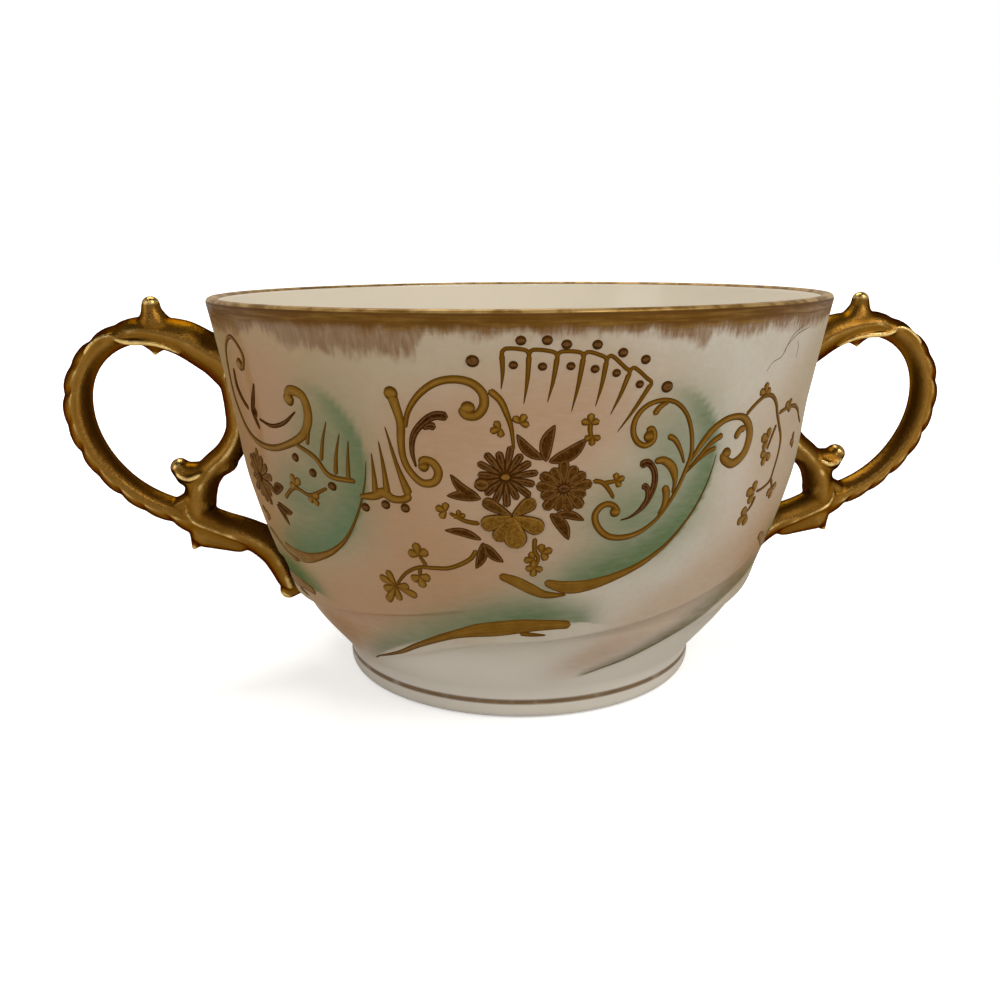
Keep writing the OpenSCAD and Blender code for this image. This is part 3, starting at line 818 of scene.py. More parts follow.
# Foot of the brushed fringe under the rim band: millimetres around from the front, and height.
FRINGE_FOOT = (
    (-67.5, 55.4), (-50.0, 55.0), (-42.0, 55.3), (-38.5, 56.0), (-33.0, 54.2), (-28.0, 53.8),
    (-20.0, 53.6), (-16.2, 53.9), (-15.2, 56.2), (-10.0, 55.9), (-6.0, 56.1), (1.0, 55.7),
    (6.0, 56.1), (11.0, 55.7), (14.5, 54.6), (16.2, 53.9), (17.2, 55.9), (22.0, 55.0),
    (27.0, 55.8), (36.0, 55.5), (48.0, 55.9), (67.5, 55.4),
)


def nearest(points, path):
    """Distance from points to a path, the side of it they lie on, and how far along."""
    run = along(path)
    best = np.full(len(points), 1e9)
    side = np.zeros(len(points))
    at = np.zeros(len(points))
    for i in range(len(path) - 1):
        a, b = path[i], path[i + 1]
        way = b - a
        length = np.linalg.norm(way)
        off = points - a
        t = np.clip(off @ way / length ** 2, 0, 1)
        gap = np.linalg.norm(off - t[:, None] * way, axis=1)
        closer = gap < best
        best = np.where(closer, gap, best)
        side = np.where(closer, np.sign(way[0] * off[:, 1] - way[1] * off[:, 0]), side)
        at = np.where(closer, (run[i] + t * length) / run[-1], at)
    return best, side, at


def unrolled(points, centre):
    """Chart places of azimuth and height pairs, measured round from a centre."""
    whole = 6 * PANEL
    around = (points[:, 0] - centre + whole / 2) % whole - whole / 2 + centre
    return np.stack([around, points[:, 1]], 1)


def one_sided(points, path, keep_side, reach, leak):
    """A wash that starts crisply at a path and fades away on one side of it."""
    gap, side, at = nearest(points, path)
    inward = np.exp(-(gap / curve(at, reach)) ** 2.2)
    outward = np.exp(-(gap / curve(at, leak)) ** 2)
    return np.where(side == keep_side, inward, outward), at


def soft_patch(chart, turn, x, y, long, tall, slope=0):
    """A soft-edged oval of colour, 1 in its middle."""
    p = unrolled(chart - (turn, 0), x) - (x, y)
    c, s = math.cos(math.radians(slope)), math.sin(math.radians(slope))
    u = (p[:, 0] * c + p[:, 1] * s) / long
    v = (-p[:, 0] * s + p[:, 1] * c) / tall
    return np.exp(-(u ** 2 + v ** 2) ** 1.4)


def washes(azimuth, z):
    """Cover of tan with painted shade, pink, green, and olive with painted crease shade, at each
    point of the bowl's outside.
    """
    chart = np.stack([np.radians(azimuth) * CHART_RADIUS, z], 1)
    pink = np.zeros(len(chart))
    green = np.zeros(len(chart))
    olive = np.zeros(len(chart))
    # A tan ground wash, heavier on the left of each half where it also paints the shade there, and
    # left off low down, which paints the lower side lighter.
    tan = 0.5 - 0.42 * np.sin(2 * math.pi * (chart[:, 0] + 12) / HALF_TURN)
    tan = tan * smooth((z - 9) / 12)
    crescent = through(CRESCENT, 1.0)
    sweep = through(LOW_SWEEP, 1.2)
    edge = through(FOLD_EDGE, 1.2)
    # By the share of each path: millimetres that the wash reaches inward and leaks outward.
    crescent_reach = ((0, 2.2), (0.2, 4.8), (0.5, 6.8), (0.75, 7.6), (0.9, 6.0), (1, 4.0))
    crescent_leak = ((0, 1.0), (0.2, 0.7), (0.4, 0.3), (1, 0.3))
    sweep_reach = ((0, 1.6), (0.3, 3.0), (0.6, 3.8), (0.85, 4.2), (1, 3.0))
    edge_reach = ((0, 1.0), (0.3, 2.5), (0.6, 3.4), (1, 3.2))
    thin_leak = ((0, 0.3), (1, 0.3))
    for panel in range(6):
        p = unrolled(chart - (panel * PANEL, 0), 0.0)
        wash, at = one_sided(p, crescent, -1, crescent_reach, crescent_leak)
        wash *= curve(at, ((0, 0.3), (0.12, 0.8), (0.4, 0.95), (0.8, 1.0), (0.93, 0.85), (1, 0.5)))
        green = np.maximum(green, wash)
        green = np.maximum(green, 0.75 * soft_patch(p, 0, 11.0, 33.5, 9.0, 6.5))
        green = np.maximum(green, 0.65 * soft_patch(p, 0, 15.0, 41.0, 6.5, 8.0))
        if panel in (1, 4):
            continue
        wash, at = one_sided(p, sweep, 1, sweep_reach, thin_leak)
        wash *= curve(at, ((0, 0.25), (0.2, 0.6), (0.6, 0.78), (0.85, 0.95), (1, 0.8)))
        green = np.maximum(green, wash)
    for turn in (0.0, HALF_TURN):
        p = unrolled(chart - (turn, 0), 28.0)
        # The olive is darkest at the fold's edge: partly wash, partly painted shade under the
        # fold's crest.
        wash, at = one_sided(p, edge, 1, edge_reach, thin_leak)
        wash *= curve(at, ((0, 0.6), (0.2, 0.8), (0.5, 0.85), (0.8, 0.7), (1, 0.3)))
        olive = np.maximum(olive, wash)
        for *shape, strength in PINK_PATCHES:
            patch = strength * soft_patch(chart, turn, *shape)
            pink = pink + patch * (1 - pink)
    return tan, pink, green, olive


def fringe_foot(azimuth):
    """Height where the brushed fringe ends, the same on the front and the back."""
    around = np.radians(azimuth) * CHART_RADIUS
    return curve((around + HALF_TURN / 2) % HALF_TURN - HALF_TURN / 2, FRINGE_FOOT)


# Painted motifs, on the same chart

# Right scroll: the long S from the upper spiral down to the lower one.
RIGHT_S = ((10.0, 44.3), (10.6, 44.7), (11.1, 44.0), (11.0, 43.1), (10.0, 42.6), (8.9, 43.2),
           (8.3, 44.6), (8.6, 46.3), (9.8, 47.6), (11.8, 48.1), (13.6, 47.6), (15.1, 46.2),
           (16.0, 44.5), (16.5, 42.7), (16.6, 40.8), (16.1, 39.0), (15.3, 36.8), (14.2, 34.7),
           (12.8, 32.8), (10.8, 31.4), (8.5, 30.8), (6.3, 31.1), (4.8, 32.4), (4.25, 34.0),
           (4.8, 35.1), (5.8, 35.5), (6.8, 35.0), (7.2, 34.0))
# The leaves inside it: points and half widths.
RIGHT_LEAVES = (
    (((12.6, 47.9), (11.4, 47.3), (10.7, 46.3)), (0.2, 0.4, 0.45)),
    (((12.9, 43.6), (14.0, 43.0), (15.0, 41.5), (15.7, 39.8)), (0.45, 0.35, 0.2)),
    (((11.4, 40.5), (12.7, 40.5), (14.0, 39.5), (14.6, 37.8), (14.5, 36.0)),
     (0.4, 0.6, 0.65, 0.4, 0.2)),
    (((13.1, 37.3), (13.6, 36.0), (13.5, 34.6), (12.8, 33.4)), (0.5, 0.6, 0.45, 0.2)),
)
DARK_COMMAS = (
    (((9.5, 40.1), (10.6, 40.4), (11.5, 39.3), (11.7, 37.7), (11.2, 36.0), (10.2, 34.5),
      (8.8, 33.5), (7.5, 33.2)), (0.62, 0.46, 0.46, 0.46, 0.42, 0.2, 0.1)),
    (((10.0, 37.6), (10.7, 37.2), (11.0, 36.2), (10.7, 35.2)), (0.55, 0.4, 0.42, 0.3)),
)
RIBBON = ((16.3, 39.5), (18.1, 42.1), (19.8, 43.9), (21.8, 44.9), (24.2, 44.9), (25.8, 43.9),
          (26.7, 42.1), (26.2, 39.9), (24.2, 38.75), (22.5, 39.5), (21.95, 40.6))
RIBBON_BUDS = (
    (((25.6, 43.3), (24.5, 43.1), (23.8, 42.0)), (0.5, 0.6, 0.6)),
    (((16.3, 39.0), (18.1, 40.6), (19.8, 42.1), (21.5, 42.9)), (0.1, 0.3, 0.4, 0.55)),
    (((16.0, 38.3), (17.8, 39.9), (19.6, 41.0), (20.7, 41.3)), (0.1, 0.25, 0.35, 0.4)),
)

# Left scroll: the C, the stem with its knob, and the red-brown leaf inside.
LEFT_C = ((-18.3, 45.0), (-17.7, 47.1), (-16.2, 49.2), (-14.2, 50.65), (-12.1, 51.1),
          (-10.2, 50.7), (-9.0, 49.5), (-8.9, 48.0), (-9.8, 46.8), (-11.0, 46.9), (-11.4, 47.9))
LEFT_STEM = ((-19.6, 49.3), (-19.2, 47.7), (-18.8, 45.6), (-19.0, 43.3), (-18.9, 41.2),
             (-18.15, 39.5), (-16.7, 38.2), (-15.2, 38.4), (-14.6, 39.6), (-15.2, 40.8),
             (-16.3, 41.1), (-16.9, 40.5))
LEFT_TWIG = ((-8.3, 49.9), (-7.1, 48.7), (-6.4, 47.1), (-5.9, 45.4), (-5.6, 42.6))
LEFT_ACANTHUS = (
    (((-17.35, 40.1), (-17.7, 42.1), (-17.3, 44.2), (-15.9, 45.9), (-14.5, 46.7), (-13.0, 46.6)),
     (0.15, 0.32, 0.42, 0.48, 0.55, 0.65)),
    (((-16.2, 45.0), (-15.3, 45.4), (-14.5, 45.3)), (0.2, 0.45, 0.62)),
)

# Left comb: its base and three spikes.
COMB_BASE = ((-25.8, 35.6), (-23.6, 35.9), (-22.1, 36.5), (-20.9, 35.8), (-19.2, 35.9),
             (-18.4, 36.6))
COMB_SPIKES = (((-23.3, 36.0), (-23.2, 38.8), (-23.2, 41.6)),
               ((-21.6, 36.2), (-21.7, 39.6), (-22.0, 43.2)),
               ((-18.6, 36.4), (-19.9, 40.4), (-20.9, 45.1)))
COMB_DOTS = ((-25.1, 34.2), (-22.0, 34.9), (-19.3, 34.7))

# Fan: the top and the foot of each of its posts, from left to right.
FAN_TOPS = ((-6.8, 54.7), (-3.95, 54.55), (-0.95, 54.3), (1.86, 54.2), (4.42, 53.7),
            (7.15, 52.2), (9.9, 50.8))
FAN_FEET = ((-6.95, 49.85), (-4.5, 48.1), (-1.9, 48.3), (0.8, 47.1), (3.5, 47.65),
            (5.3, 46.6), (6.3, 44.4))
FAN_DOTS = ((-5.6, 52.8), (-2.5, 52.6), (0.54, 52.6), (3.2, 52.2), (5.65, 51.65), (8.5, 50.2))
TOP_DOTS = ((-4.8, 55.6), (-2.05, 55.6), (0.0, 55.1), (3.3, 55.0), (6.2, 54.0), (8.9, 53.1))
BIG_DOTS = ((-9.95, 53.25), (11.95, 49.7))

# Daisies: centre, petals, radius, petal half width and gold share, the eye's radius and gold share.
DAISIES = (
    (-6.6, 39.3, 15, 3.9, 0.5, 0.12, 0.6, 0.8),
    (0.26, 37.8, 13, 3.5, 0.72, 0.25, 0.75, 0.0),
    (-47.3, 35.0, 14, 4.2, 0.62, 0.5, 0.7, 0.2),
)
# Gold bloom: its middle, then the tip, half width and gold share of each petal.
BLOOM = (-5.85, 34.3)
BLOOM_PETALS = ((-9.4, 36.3, 0.8, 0.3), (-3.1, 36.4, 0.95, 0.6), (-9.7, 32.9, 1.05, 0.8),
                (-2.0, 32.4, 1.15, 0.8), (-7.9, 30.9, 0.95, 0.7), (-5.3, 29.9, 1.45, 0.9))
# Leaves: foot, tip, half width and bend.
LEAVES = (
    ((-1.9, 41.1), (-0.94, 45.7), 0.85, 0.1), ((-1.6, 41.1), (2.8, 43.9), 0.95, -0.1),
    ((-2.2, 41.4), (-5.3, 44.6), 0.75, 0.1), ((-9.7, 36.7), (-13.2, 39.5), 0.7, 0.12),
    ((-9.5, 36.5), (-13.8, 36.7), 0.75, -0.05), ((-9.7, 31.0), (-14.4, 32.1), 0.65, -0.08),
    ((-9.5, 30.7), (-10.7, 26.85), 0.75, 0.08), ((-9.4, 30.5), (-7.0, 27.9), 0.75, -0.08),
    ((-1.3, 34.6), (1.2, 30.9), 0.85, 0.08), ((-0.7, 34.5), (3.0, 33.5), 0.65, 0.08),
)

# Gold sprigs: twigs, then clovers as centre, heading and size.
TWIGS = (
    ((-9.8, 33.2), (-11.6, 33.5), (-13.6, 34.5)),
    ((3.1, 45.8), (3.1, 44.8), (3.4, 43.8)),
    ((3.7, 38.6), (4.9, 38.3), (5.8, 37.3), (6.5, 36.1)), ((5.0, 38.2), (6.8, 38.4)),
    ((-3.06, 31.4), (-3.06, 29.6), (-2.6, 28.5), (-3.1, 27.0)),
    ((-10.4, 29.6), (-11.4, 28.2), (-14.2, 26.8), (-16.6, 26.6), (-18.6, 26.5), (-20.7, 25.4),
     (-22.6, 23.4)),
    ((-17.4, 26.7), (-18.3, 28.3)), ((-18.4, 26.5), (-18.7, 25.2)),
    ((25.1, 45.0), (26.4, 46.1), (28.2, 47.1), (30.0, 47.0), (31.5, 45.9), (32.6, 44.3),
     (33.9, 42.6), (35.3, 40.6), (35.5, 38.6), (35.0, 36.4), (34.4, 34.65), (32.4, 33.9),
     (30.9, 33.8)),
    ((33.05, 44.3), (35.7, 44.7), (38.3, 44.6), (40.5, 43.7), (41.9, 42.6), (44.0, 41.4)),
    ((33.05, 42.8), (32.4, 41.3), (31.6, 39.4)), ((31.1, 33.2), (30.6, 31.8), (29.6, 30.8)),
    ((34.6, 35.0), (35.3, 34.2), (35.8, 33.4)),
)
CLOVERS = (
    (28.2, 47.5, 90, 1.5), (35.6, 44.6, 60, 1.5), (31.4, 41.0, 165, 1.9), (31.6, 39.0, 250, 1.8),
    (30.4, 33.8, 170, 2.0), (29.9, 30.7, 215, 2.0), (35.8, 33.4, 290, 1.8), (41.2, 39.5, 200, 1.5),
    (-7.1, 45.3, 200, 1.3), (-4.9, 45.9, 60, 1.3), (3.1, 45.7, 90, 1.3), (3.4, 44.1, 270, 1.2),
    (6.6, 38.4, 20, 1.2), (-2.2, 29.2, 20, 1.5), (-3.1, 28.4, 190, 1.4), (-3.1, 27.2, 265, 1.4),
    (-14.0, 34.7, 160, 1.4), (-12.3, 34.0, 100, 1.0), (-18.3, 28.3, 100, 1.8),
    (-18.7, 25.2, 280, 1.8),
)
# A larger cluster at the end of the left twig: its middle and the tips of its lobes.
CLUSTER = (-22.7, 23.2)
CLUSTER_TIPS = ((-25.2, 24.4), (-23.7, 25.5), (-25.0, 22.4), (-24.9, 20.5), (-22.7, 20.9),
                (-20.6, 23.4), (-19.6, 22.0))

# Left panel, by the left handle: a tall scroll, pen lines, a comb over the green and blooms.
SIDE_SCROLL = ((-45.2, 50.15), (-44.1, 52.3), (-46.6, 54.5), (-49.9, 53.0), (-51.7, 49.8),
               (-52.4, 45.5), (-50.2, 42.2), (-46.6, 40.4), (-41.6, 40.05), (-37.3, 41.1),
               (-33.7, 42.9), (-32.2, 45.5), (-32.6, 48.0), (-34.7, 48.5), (-35.8, 46.9))
SIDE_PEN = (
    (((-48.8, 50.15), (-49.2, 47.6), (-48.1, 45.8), (-46.6, 44.7)), (0.3, 0.5, 0.4)),
    (((-42.7, 48.7), (-44.1, 46.5), (-45.2, 44.4), (-44.1, 42.2)), (0.15, 0.5, 0.55, 0.3)),
    (((-43.7, 43.7), (-40.5, 43.2), (-37.3, 44.0), (-34.4, 45.8)), (0.2, 0.3, 0.3, 0.12)),
)
SIDE_CHAIN = ((-35.8, 41.5), (-32.2, 40.05), (-30.0, 37.9), (-26.1, 37.5))
SIDE_SPIKES = (((-33.3, 41.5), (-32.6, 43.4), (-31.6, 45.1)),
               ((-31.1, 39.7), (-30.4, 42.4), (-29.3, 45.1)),
               ((-29.0, 38.1), (-28.4, 41.0), (-27.5, 43.7)),
               ((-27.2, 37.5), (-26.8, 40.2), (-26.3, 42.9)))
SIDE_DOTS = ((-36.0, 39.55), (-32.9, 37.9), (-29.9, 36.45))
SIDE_TWIG = ((-40.5, 33.2), (-37.3, 35.2), (-34.4, 34.65), (-30.8, 36.1))
SIDE_CLOVERS = ((-36.9, 35.6, 120, 1.7), (-33.8, 34.6, -60, 1.5), (-50.6, 29.2, 250, 1.8))
SIDE_LEAVES = (((-43.6, 33.2), (-40.2, 34.8), 0.85, 0.1),
               ((-43.4, 32.0), (-39.6, 31.2), 0.75, -0.1),
               ((-44.0, 31.6), (-41.8, 28.8), 0.75, 0.1))
# Round ends of the scrolls on both panels: around, up and radius.
SCROLL_KNOBS = ((10.4, 43.7, 0.72), (6.8, 34.4, 0.7), (-10.7, 47.7, 0.85), (-19.6, 49.2, 0.88),
                (-16.4, 40.3, 0.7), (22.6, 40.3, 0.8), (-45.8, 50.9, 0.9), (-35.2, 47.4, 0.95))
# Fine grey lines in the glaze beside the right handle.
HAIRLINES = (((27.4, 50.3), (28.3, 51.4), (30.2, 52.1), (31.0, 53.4), (33.0, 54.7), (36.4, 55.4)),
             ((30.6, 52.4), (31.4, 54.2), (32.8, 55.2), (34.6, 55.8)),
             ((33.4, 54.0), (34.2, 52.8), (34.2, 51.4)))


def daisy(work, spec):
    """A ring of petals round a small domed eye."""
    x, y, count, outer, half, tone, eye, eye_tone = spec
    for n in range(count):
        a = math.radians(8 + 360 * n / count)
        reach = outer * (0.93 + 0.09 * math.sin(2.4 * n + 1))
        way = np.array([math.cos(a), math.sin(a)])
        foot = np.array([x, y]) + way * eye * 0.7
        work.petal(foot, np.array([x, y]) + way * reach, half, tone,
                   base=0.03 * (n % 3), blunt=0.9)
    work.dot((x, y), eye, eye_tone, raised=1.6, base=0.06, ring=0.6)


# Sizes and colours on the panel

def length(name, about, default):
    """A length on the panel, in metres."""
    return bpy.props.FloatProperty(name=name, description=about, default=default,
                                   unit="LENGTH", subtype="DISTANCE", precision=4)


def angle(name, about, degrees):
    """An angle on the panel, given in degrees."""
    return bpy.props.FloatProperty(name=name, description=about,
                                   default=math.radians(degrees), subtype="ANGLE")


def colour(name, about, rgb):
    """A colour on the panel, in linear values."""
    return bpy.props.FloatVectorProperty(name=name, description=about, size=4, subtype="COLOR",
                                         default=(*rgb, 1.0), min=0.0, max=1.0)


class BowlSizes(bpy.types.PropertyGroup):
    """Sizes of the bowl, its foot and its folds."""
    height: length("Height", "Height of the cup", 0.0591)
    rim_diameter: length("Rim", "Outside diameter at the rim", 0.095)
    waist_height: length("Waist height", "Where the side starts to flare", 0.045)
    waist_diameter: length("Waist", "Diameter at the waist", 0.089)
    belly_height: length("Belly height", "Where the side turns in", 0.032)
    belly_diameter: length("Belly", "Diameter at the belly", 0.0848)
    shoulder_height: length("Shoulder height", "Where the lower curve tightens", 0.016)
    shoulder_diameter: length("Shoulder", "Diameter at the lower curve", 0.0736)
    foot_diameter: length("Foot", "Diameter of the foot", 0.056)
    foot_height: length("Foot height", "Height of the foot", 0.0046)
    foot_edge: length("Foot edge", "Rounding under the foot", 0.0012)
    foot_ring: length("Foot ring", "Width of the ring it stands on", 0.0024)
    recess: length("Recess", "Hollow inside the foot ring", 0.0026)
    floor: length("Floor", "Thickness of the floor", 0.0028)
    wall: length("Wall", "Thickness of the wall", 0.0024)
    lip: length("Lip", "Thickness of the lip", 0.0017)
    cove: length("Cove", "Rounding from the floor to the side", 0.008)
    folds: bpy.props.IntProperty(name="Folds", description="Swirling folds round the bowl",
                                 default=6, min=1, max=12)
    fold_depth: length("Fold depth", "How far the folds stand out", 0.0012)
    fold_start: angle("Fold start", "Where the first fold leaves the foot", 2)
    fold_sweep: angle("Fold sweep", "How far a fold turns on its way up", 146)


class HandleSizes(bpy.types.PropertyGroup):
    """Sizes of the two scroll handles."""
    loop_height: length("Loop height", "Height of the loop's middle", 0.0387)
    loop_reach: length("Loop reach", "Middle of the loop out from the wall", 0.0089)
    loop_long: length("Loop long half", "Long half axis of the loop", 0.0168)
    loop_short: length("Loop short half", "Short half axis of the loop", 0.0133)
    lean: angle("Lean", "Lean of the loop's long axis", 38.5)
    bar: length("Bar", "Thickness of the loop's bar", 0.0044)
    depth: length("Depth", "Depth of the bar from front to back", 0.0052)
    stem: length("Stem", "Thickness of the stem", 0.0042)
    arm: length("Arm", "Thickness of the lower arm", 0.0045)
    tip_height: length("Tip height", "Height of the lower tip", 0.0115)
    twig: length("Bark notches", "Depth of the notches round the loop", 0.0003)


class PaintColours(bpy.types.PropertyGroup):
    """Colours of the glaze, the washes, the enamel and the gold."""
    # The outside glaze is set darker than the inside one: painted shade on the outside of the bowl,
    # which is the same porcelain as the inside.
    glaze: colour("Glaze", "Outside glaze", (0.46, 0.425, 0.36))
    glaze_warm: colour("Warm glaze", "Where the glaze pools", (0.415, 0.37, 0.285))
    # A paler glaze low down: painted light on the lower side of the bowl.
    painted_light_at_foot: colour("Foot glaze", "Glaze near the foot", (0.6, 0.555, 0.48))
    inside: colour("Inside", "Inside glaze", (0.7, 0.64, 0.53))
    # The tan wash also stands in for the shade on the left of each half.
    tan: colour("Tan", "Tan wash", (0.3, 0.2, 0.082))
    pink: colour("Pink", "Pink wash", (0.325, 0.178, 0.084))
    green: colour("Green", "Green wash", (0.072, 0.112, 0.036))
    # The olive wash along the fold is partly painted shade under the fold's crest.
    olive: colour("Olive", "Olive wash", (0.12, 0.095, 0.036))
    fringe: colour("Fringe", "Reddish edge of the rim band", (0.175, 0.092, 0.036))
    rim_dark: colour("Rim brown", "Hollows of the rim gold", (0.09, 0.038, 0.004))
    rim_gold: colour("Rim gold", "Body of the rim gold", (0.15, 0.076, 0.014))
    # The bright rim gold is burnish in streaks, and a painted highlight along the lip.
    rim_bright: colour("Rim bright", "Burnished rim gold", (0.33, 0.21, 0.075))
    # Also the colour of the painted contact shadow at the base.
    foot_line: colour("Foot line", "Line at the base", (0.07, 0.03, 0.008))
    # The handles' brown in their hollows is painted shade, with worn specks; their bright on the
    # ridges is a painted highlight.
    gilt_shade_and_wear: colour("Gilt brown", "Hollows of the handles", (0.12, 0.053, 0.006))
    gilt_gold: colour("Gilt", "Body of the handles' gold", (0.145, 0.074, 0.015))
    gilt_painted_highlight: colour("Gilt bright", "Ridges of the handles", (0.56, 0.39, 0.145))
    gilt_edge: colour("Gilt edge", "The handles' gold seen edge-on", (0.16, 0.085, 0.02))
    paste_dark: colour("Paste brown", "Thin places of the raised gold", (0.1, 0.043, 0.003))
    paste_gold: colour("Paste gold", "Body of the raised gold", (0.195, 0.098, 0.016))
    # The bright raised gold is partly burnish in streaks, partly a painted highlight along the
    # strokes' middles.
    paste_burnish_and_highlight: colour("Paste bright", "Burnished raised gold", (0.33, 0.2, 0.06))
    outline: colour("Outline", "Brown outlines", (0.05, 0.018, 0.002))
    enamel: colour("Enamel", "Red-brown enamel", (0.024, 0.005, 0.001))
    enamel_light: colour("Enamel light", "Thin red-brown enamel", (0.062, 0.023, 0.005))
    enamel_vein: colour("Vein", "Pale line inside a leaf", (0.105, 0.047, 0.015))
    raised: length("Raised", "Height of the raised strokes", 0.00018)


class StageSettings(bpy.types.PropertyGroup):
    """Camera, lamps and floor."""
    camera_height: length("Camera height", "Height of the lens", 0.0657)
    camera_distance: length("Camera distance", "From the cup's axis", 0.16)
    camera_turn: angle("Camera turn", "Round the cup from the front", -6.8)
    look_down: angle("Look down", "Downward tilt of the camera", 14.10)
    look_aside: angle("Look aside", "Aim off the cup's axis", 1.083)
    roll: angle("Roll", "Camera roll", -0.41)
    focal: bpy.props.FloatProperty(name="Lens", description="Focal length in millimetres",
                                   default=36.144)
    lamp_level: bpy.props.FloatProperty(name="Lamps", description="Level of the lamps",
                                        default=1.0)
    sky_level: bpy.props.FloatProperty(name="Sky", description="Level of the soft light",
                                       default=0.4)


# Operators, each with the functions that it uses

def bowl_rings(bowl):
    """Rings of the whole skin, from the underside's middle round to the floor's middle."""
    rings = []

    def ring(radius, z, turn=None, out=0.0):
        rings.append((radius, z, turn, out))

    corner = 1.5
    inner = bowl.ring_in - 0.6 - corner
    for share in (0.12, 0.35, 0.6, 0.8, 0.93):
        ring(inner * share, bowl.recess)
    for degrees in range(90, -1, -18):
        a = math.radians(degrees)
        ring(inner + corner * math.cos(a), bowl.recess - corner * (1 - math.sin(a)))
    ring(bowl.ring_in - 0.25, 0.4)
    ring(bowl.ring_in, 0.08)
    ring(bowl.ring_in + 0.2, 0.0)
    ring((bowl.ring_in + bowl.ring_out) / 2, 0.0)
    for z in (0.0, 0.1, 0.25, 0.4, 0.6, 0.85, 1.2, 1.7, 2.4, 3.2, 3.9, 4.6, 5.2):
        ring(None, z, 0.0, 1.0)
    for turn in range(0, bowl.swirl_turn + 1):
        ring(None, float(bowl.fold_height(turn)), float(turn), 1.0)
    half = bowl.lip / 2
    for z in np.linspace(bowl.swirl_top, bowl.height - half, 42)[1:]:
        ring(None, float(z), float(bowl.fold_turn(z)), 1.0)
    top = bowl.height - half
    for degrees in (18, 36, 54, 72):
        a = math.radians(degrees)
        z = bowl.height - half * (1 - math.sin(a))
        ring(float(bowl.radius(z)) - half * (1 - math.cos(a)), z, None, 1.0)
    mouth = float(bowl.inside(top))
    ring((float(bowl.radius(bowl.height)) - half + mouth + half) / 2, bowl.height, None, 0.5)
    for degrees in (72, 54, 36, 18, 0):
        a = math.radians(degrees)
        ring(mouth + half * (1 - math.cos(a)), bowl.height - half * (1 - math.sin(a)))
    for z in np.linspace(top, bowl.floor + 6, 20)[1:]:
        ring(float(bowl.inside(z)), float(z))
    for share in (0.8, 0.62, 0.46, 0.32, 0.2, 0.1, 0.03, 0.0):
        z = bowl.floor + 6 * share
        ring(float(bowl.inside(z)), z)
    lowest = float(bowl.inside(bowl.floor))
    for share in (0.9, 0.7, 0.45, 0.2):
        ring(lowest * share, bowl.floor)
    return rings


class BOUILLON_OT_bowl(bpy.types.Operator):
    """Build the swirl-moulded bowl with its washes of colour, some of which also paint shade and
    light
    """
    bl_idname = "bouillon.bowl"
    bl_label = "Bowl"

    def execute(self, context):
        bowl = BowlForm(context.scene.bouillon_bowl)
        columns = 360
        azimuth = bowl.fold_start + np.arange(columns) * 360 / columns
        vertices, outside, heights, around = [], [], [], []
        # The skin stops a hair inside the rim's radius, which leaves room for the paint.
        widest = bowl.radius(bowl.height) * 0.9984
        for radius, z, turn, out in bowl_rings(bowl):
            if radius is None:
                r = bowl.radius(z) + bowl.fold(azimuth, z, turn) + 0 * azimuth
            else:
                r = np.full(columns, radius)
            r = np.minimum(r, widest)
            vertices.append(bowl.point(azimuth, r, np.full(columns, z)))
            outside.append(np.full(columns, out))
            heights.append(np.full(columns, z))
            around.append(azimuth)
        rows = len(vertices)
        vertices = np.concatenate(vertices)
        vertices[:, 2] = np.minimum(vertices[:, 2], CAD_BOX[1][2])
        poles = np.array([[0, 0, bowl.recess * MM], [0, 0, bowl.floor * MM]])
        vertices = np.concatenate([vertices, poles])
        faces = []
        for r in range(rows - 1):
            for n in range(columns):
                m = (n + 1) % columns
                a, b = r * columns + n, r * columns + m
                c, d = (r + 1) * columns + m, (r + 1) * columns + n
                faces.append((a, b, c))
                faces.append((a, c, d))
        under, floor = rows * columns, rows * columns + 1
        last = (rows - 1) * columns
        for n in range(columns):
            m = (n + 1) % columns
            faces.append((under, m, n))
            faces.append((floor, last + n, last + m))
        out = np.concatenate(outside + [[0.0, 0.0]])
        z = np.concatenate(heights + [[0.0, 0.0]])
        a = np.concatenate(around + [[0.0, 0.0]])
        tan, pink, green, olive = washes(a, z)
        values = {"outside": out, "tan_wash": tan * out, "pink_wash": pink * out,
                  "green_wash": green * out, "olive_wash": olive * out,
                  "above_fringe": z - fringe_foot(a)}
        material = painted_porcelain(context.scene.bouillon_paint)
        clear_old("bowl")
        piece = new_piece("bowl", vertices, faces, material, values)
        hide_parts("cup")
        return {"FINISHED"}


def swept(stations, roundness, sides, ripple=None, groove=None, step=0.45):
    """A closed bar through stations of x, z, half width, half depth and, if given, y."""
    rows = through([(*row, 0.0)[:5] for row in stations], step)
    path = rows[:, :2]
    side = leftwards(path)
    run = along(path)
    angles = np.arange(sides) * 2 * math.pi / sides
    c, s = np.cos(angles), np.sin(angles)
    wide = np.sign(c) * np.abs(c) ** roundness
    deep = np.sign(s) * np.abs(s) ** roundness
    corners = []
    for i in range(len(rows)):
        w, d = rows[i, 2], rows[i, 3]
        grow = np.zeros(sides) if ripple is None else ripple(run[i] / run[-1], run[i], angles)
        off = wide * (w + grow)
        x = path[i, 0] + side[i, 0] * off
        z = path[i, 1] + side[i, 1] * off
        out = d + 1.3 * grow
        if groove is not None:
            out = out - groove(run[i] / run[-1], wide)
        corners.append(np.stack([x, rows[i, 4] + deep * out, z], 1))
    count = len(rows)
    faces = []
    for i in range(count - 1):
        for k in range(sides):
            m = (k + 1) % sides
            faces.append((i * sides + k, i * sides + m, (i + 1) * sides + m, (i + 1) * sides + k))
    faces.append(tuple(range(sides)))
    faces.append(tuple(reversed(range((count - 1) * sides, count * sides))))
    return np.concatenate(corners), faces


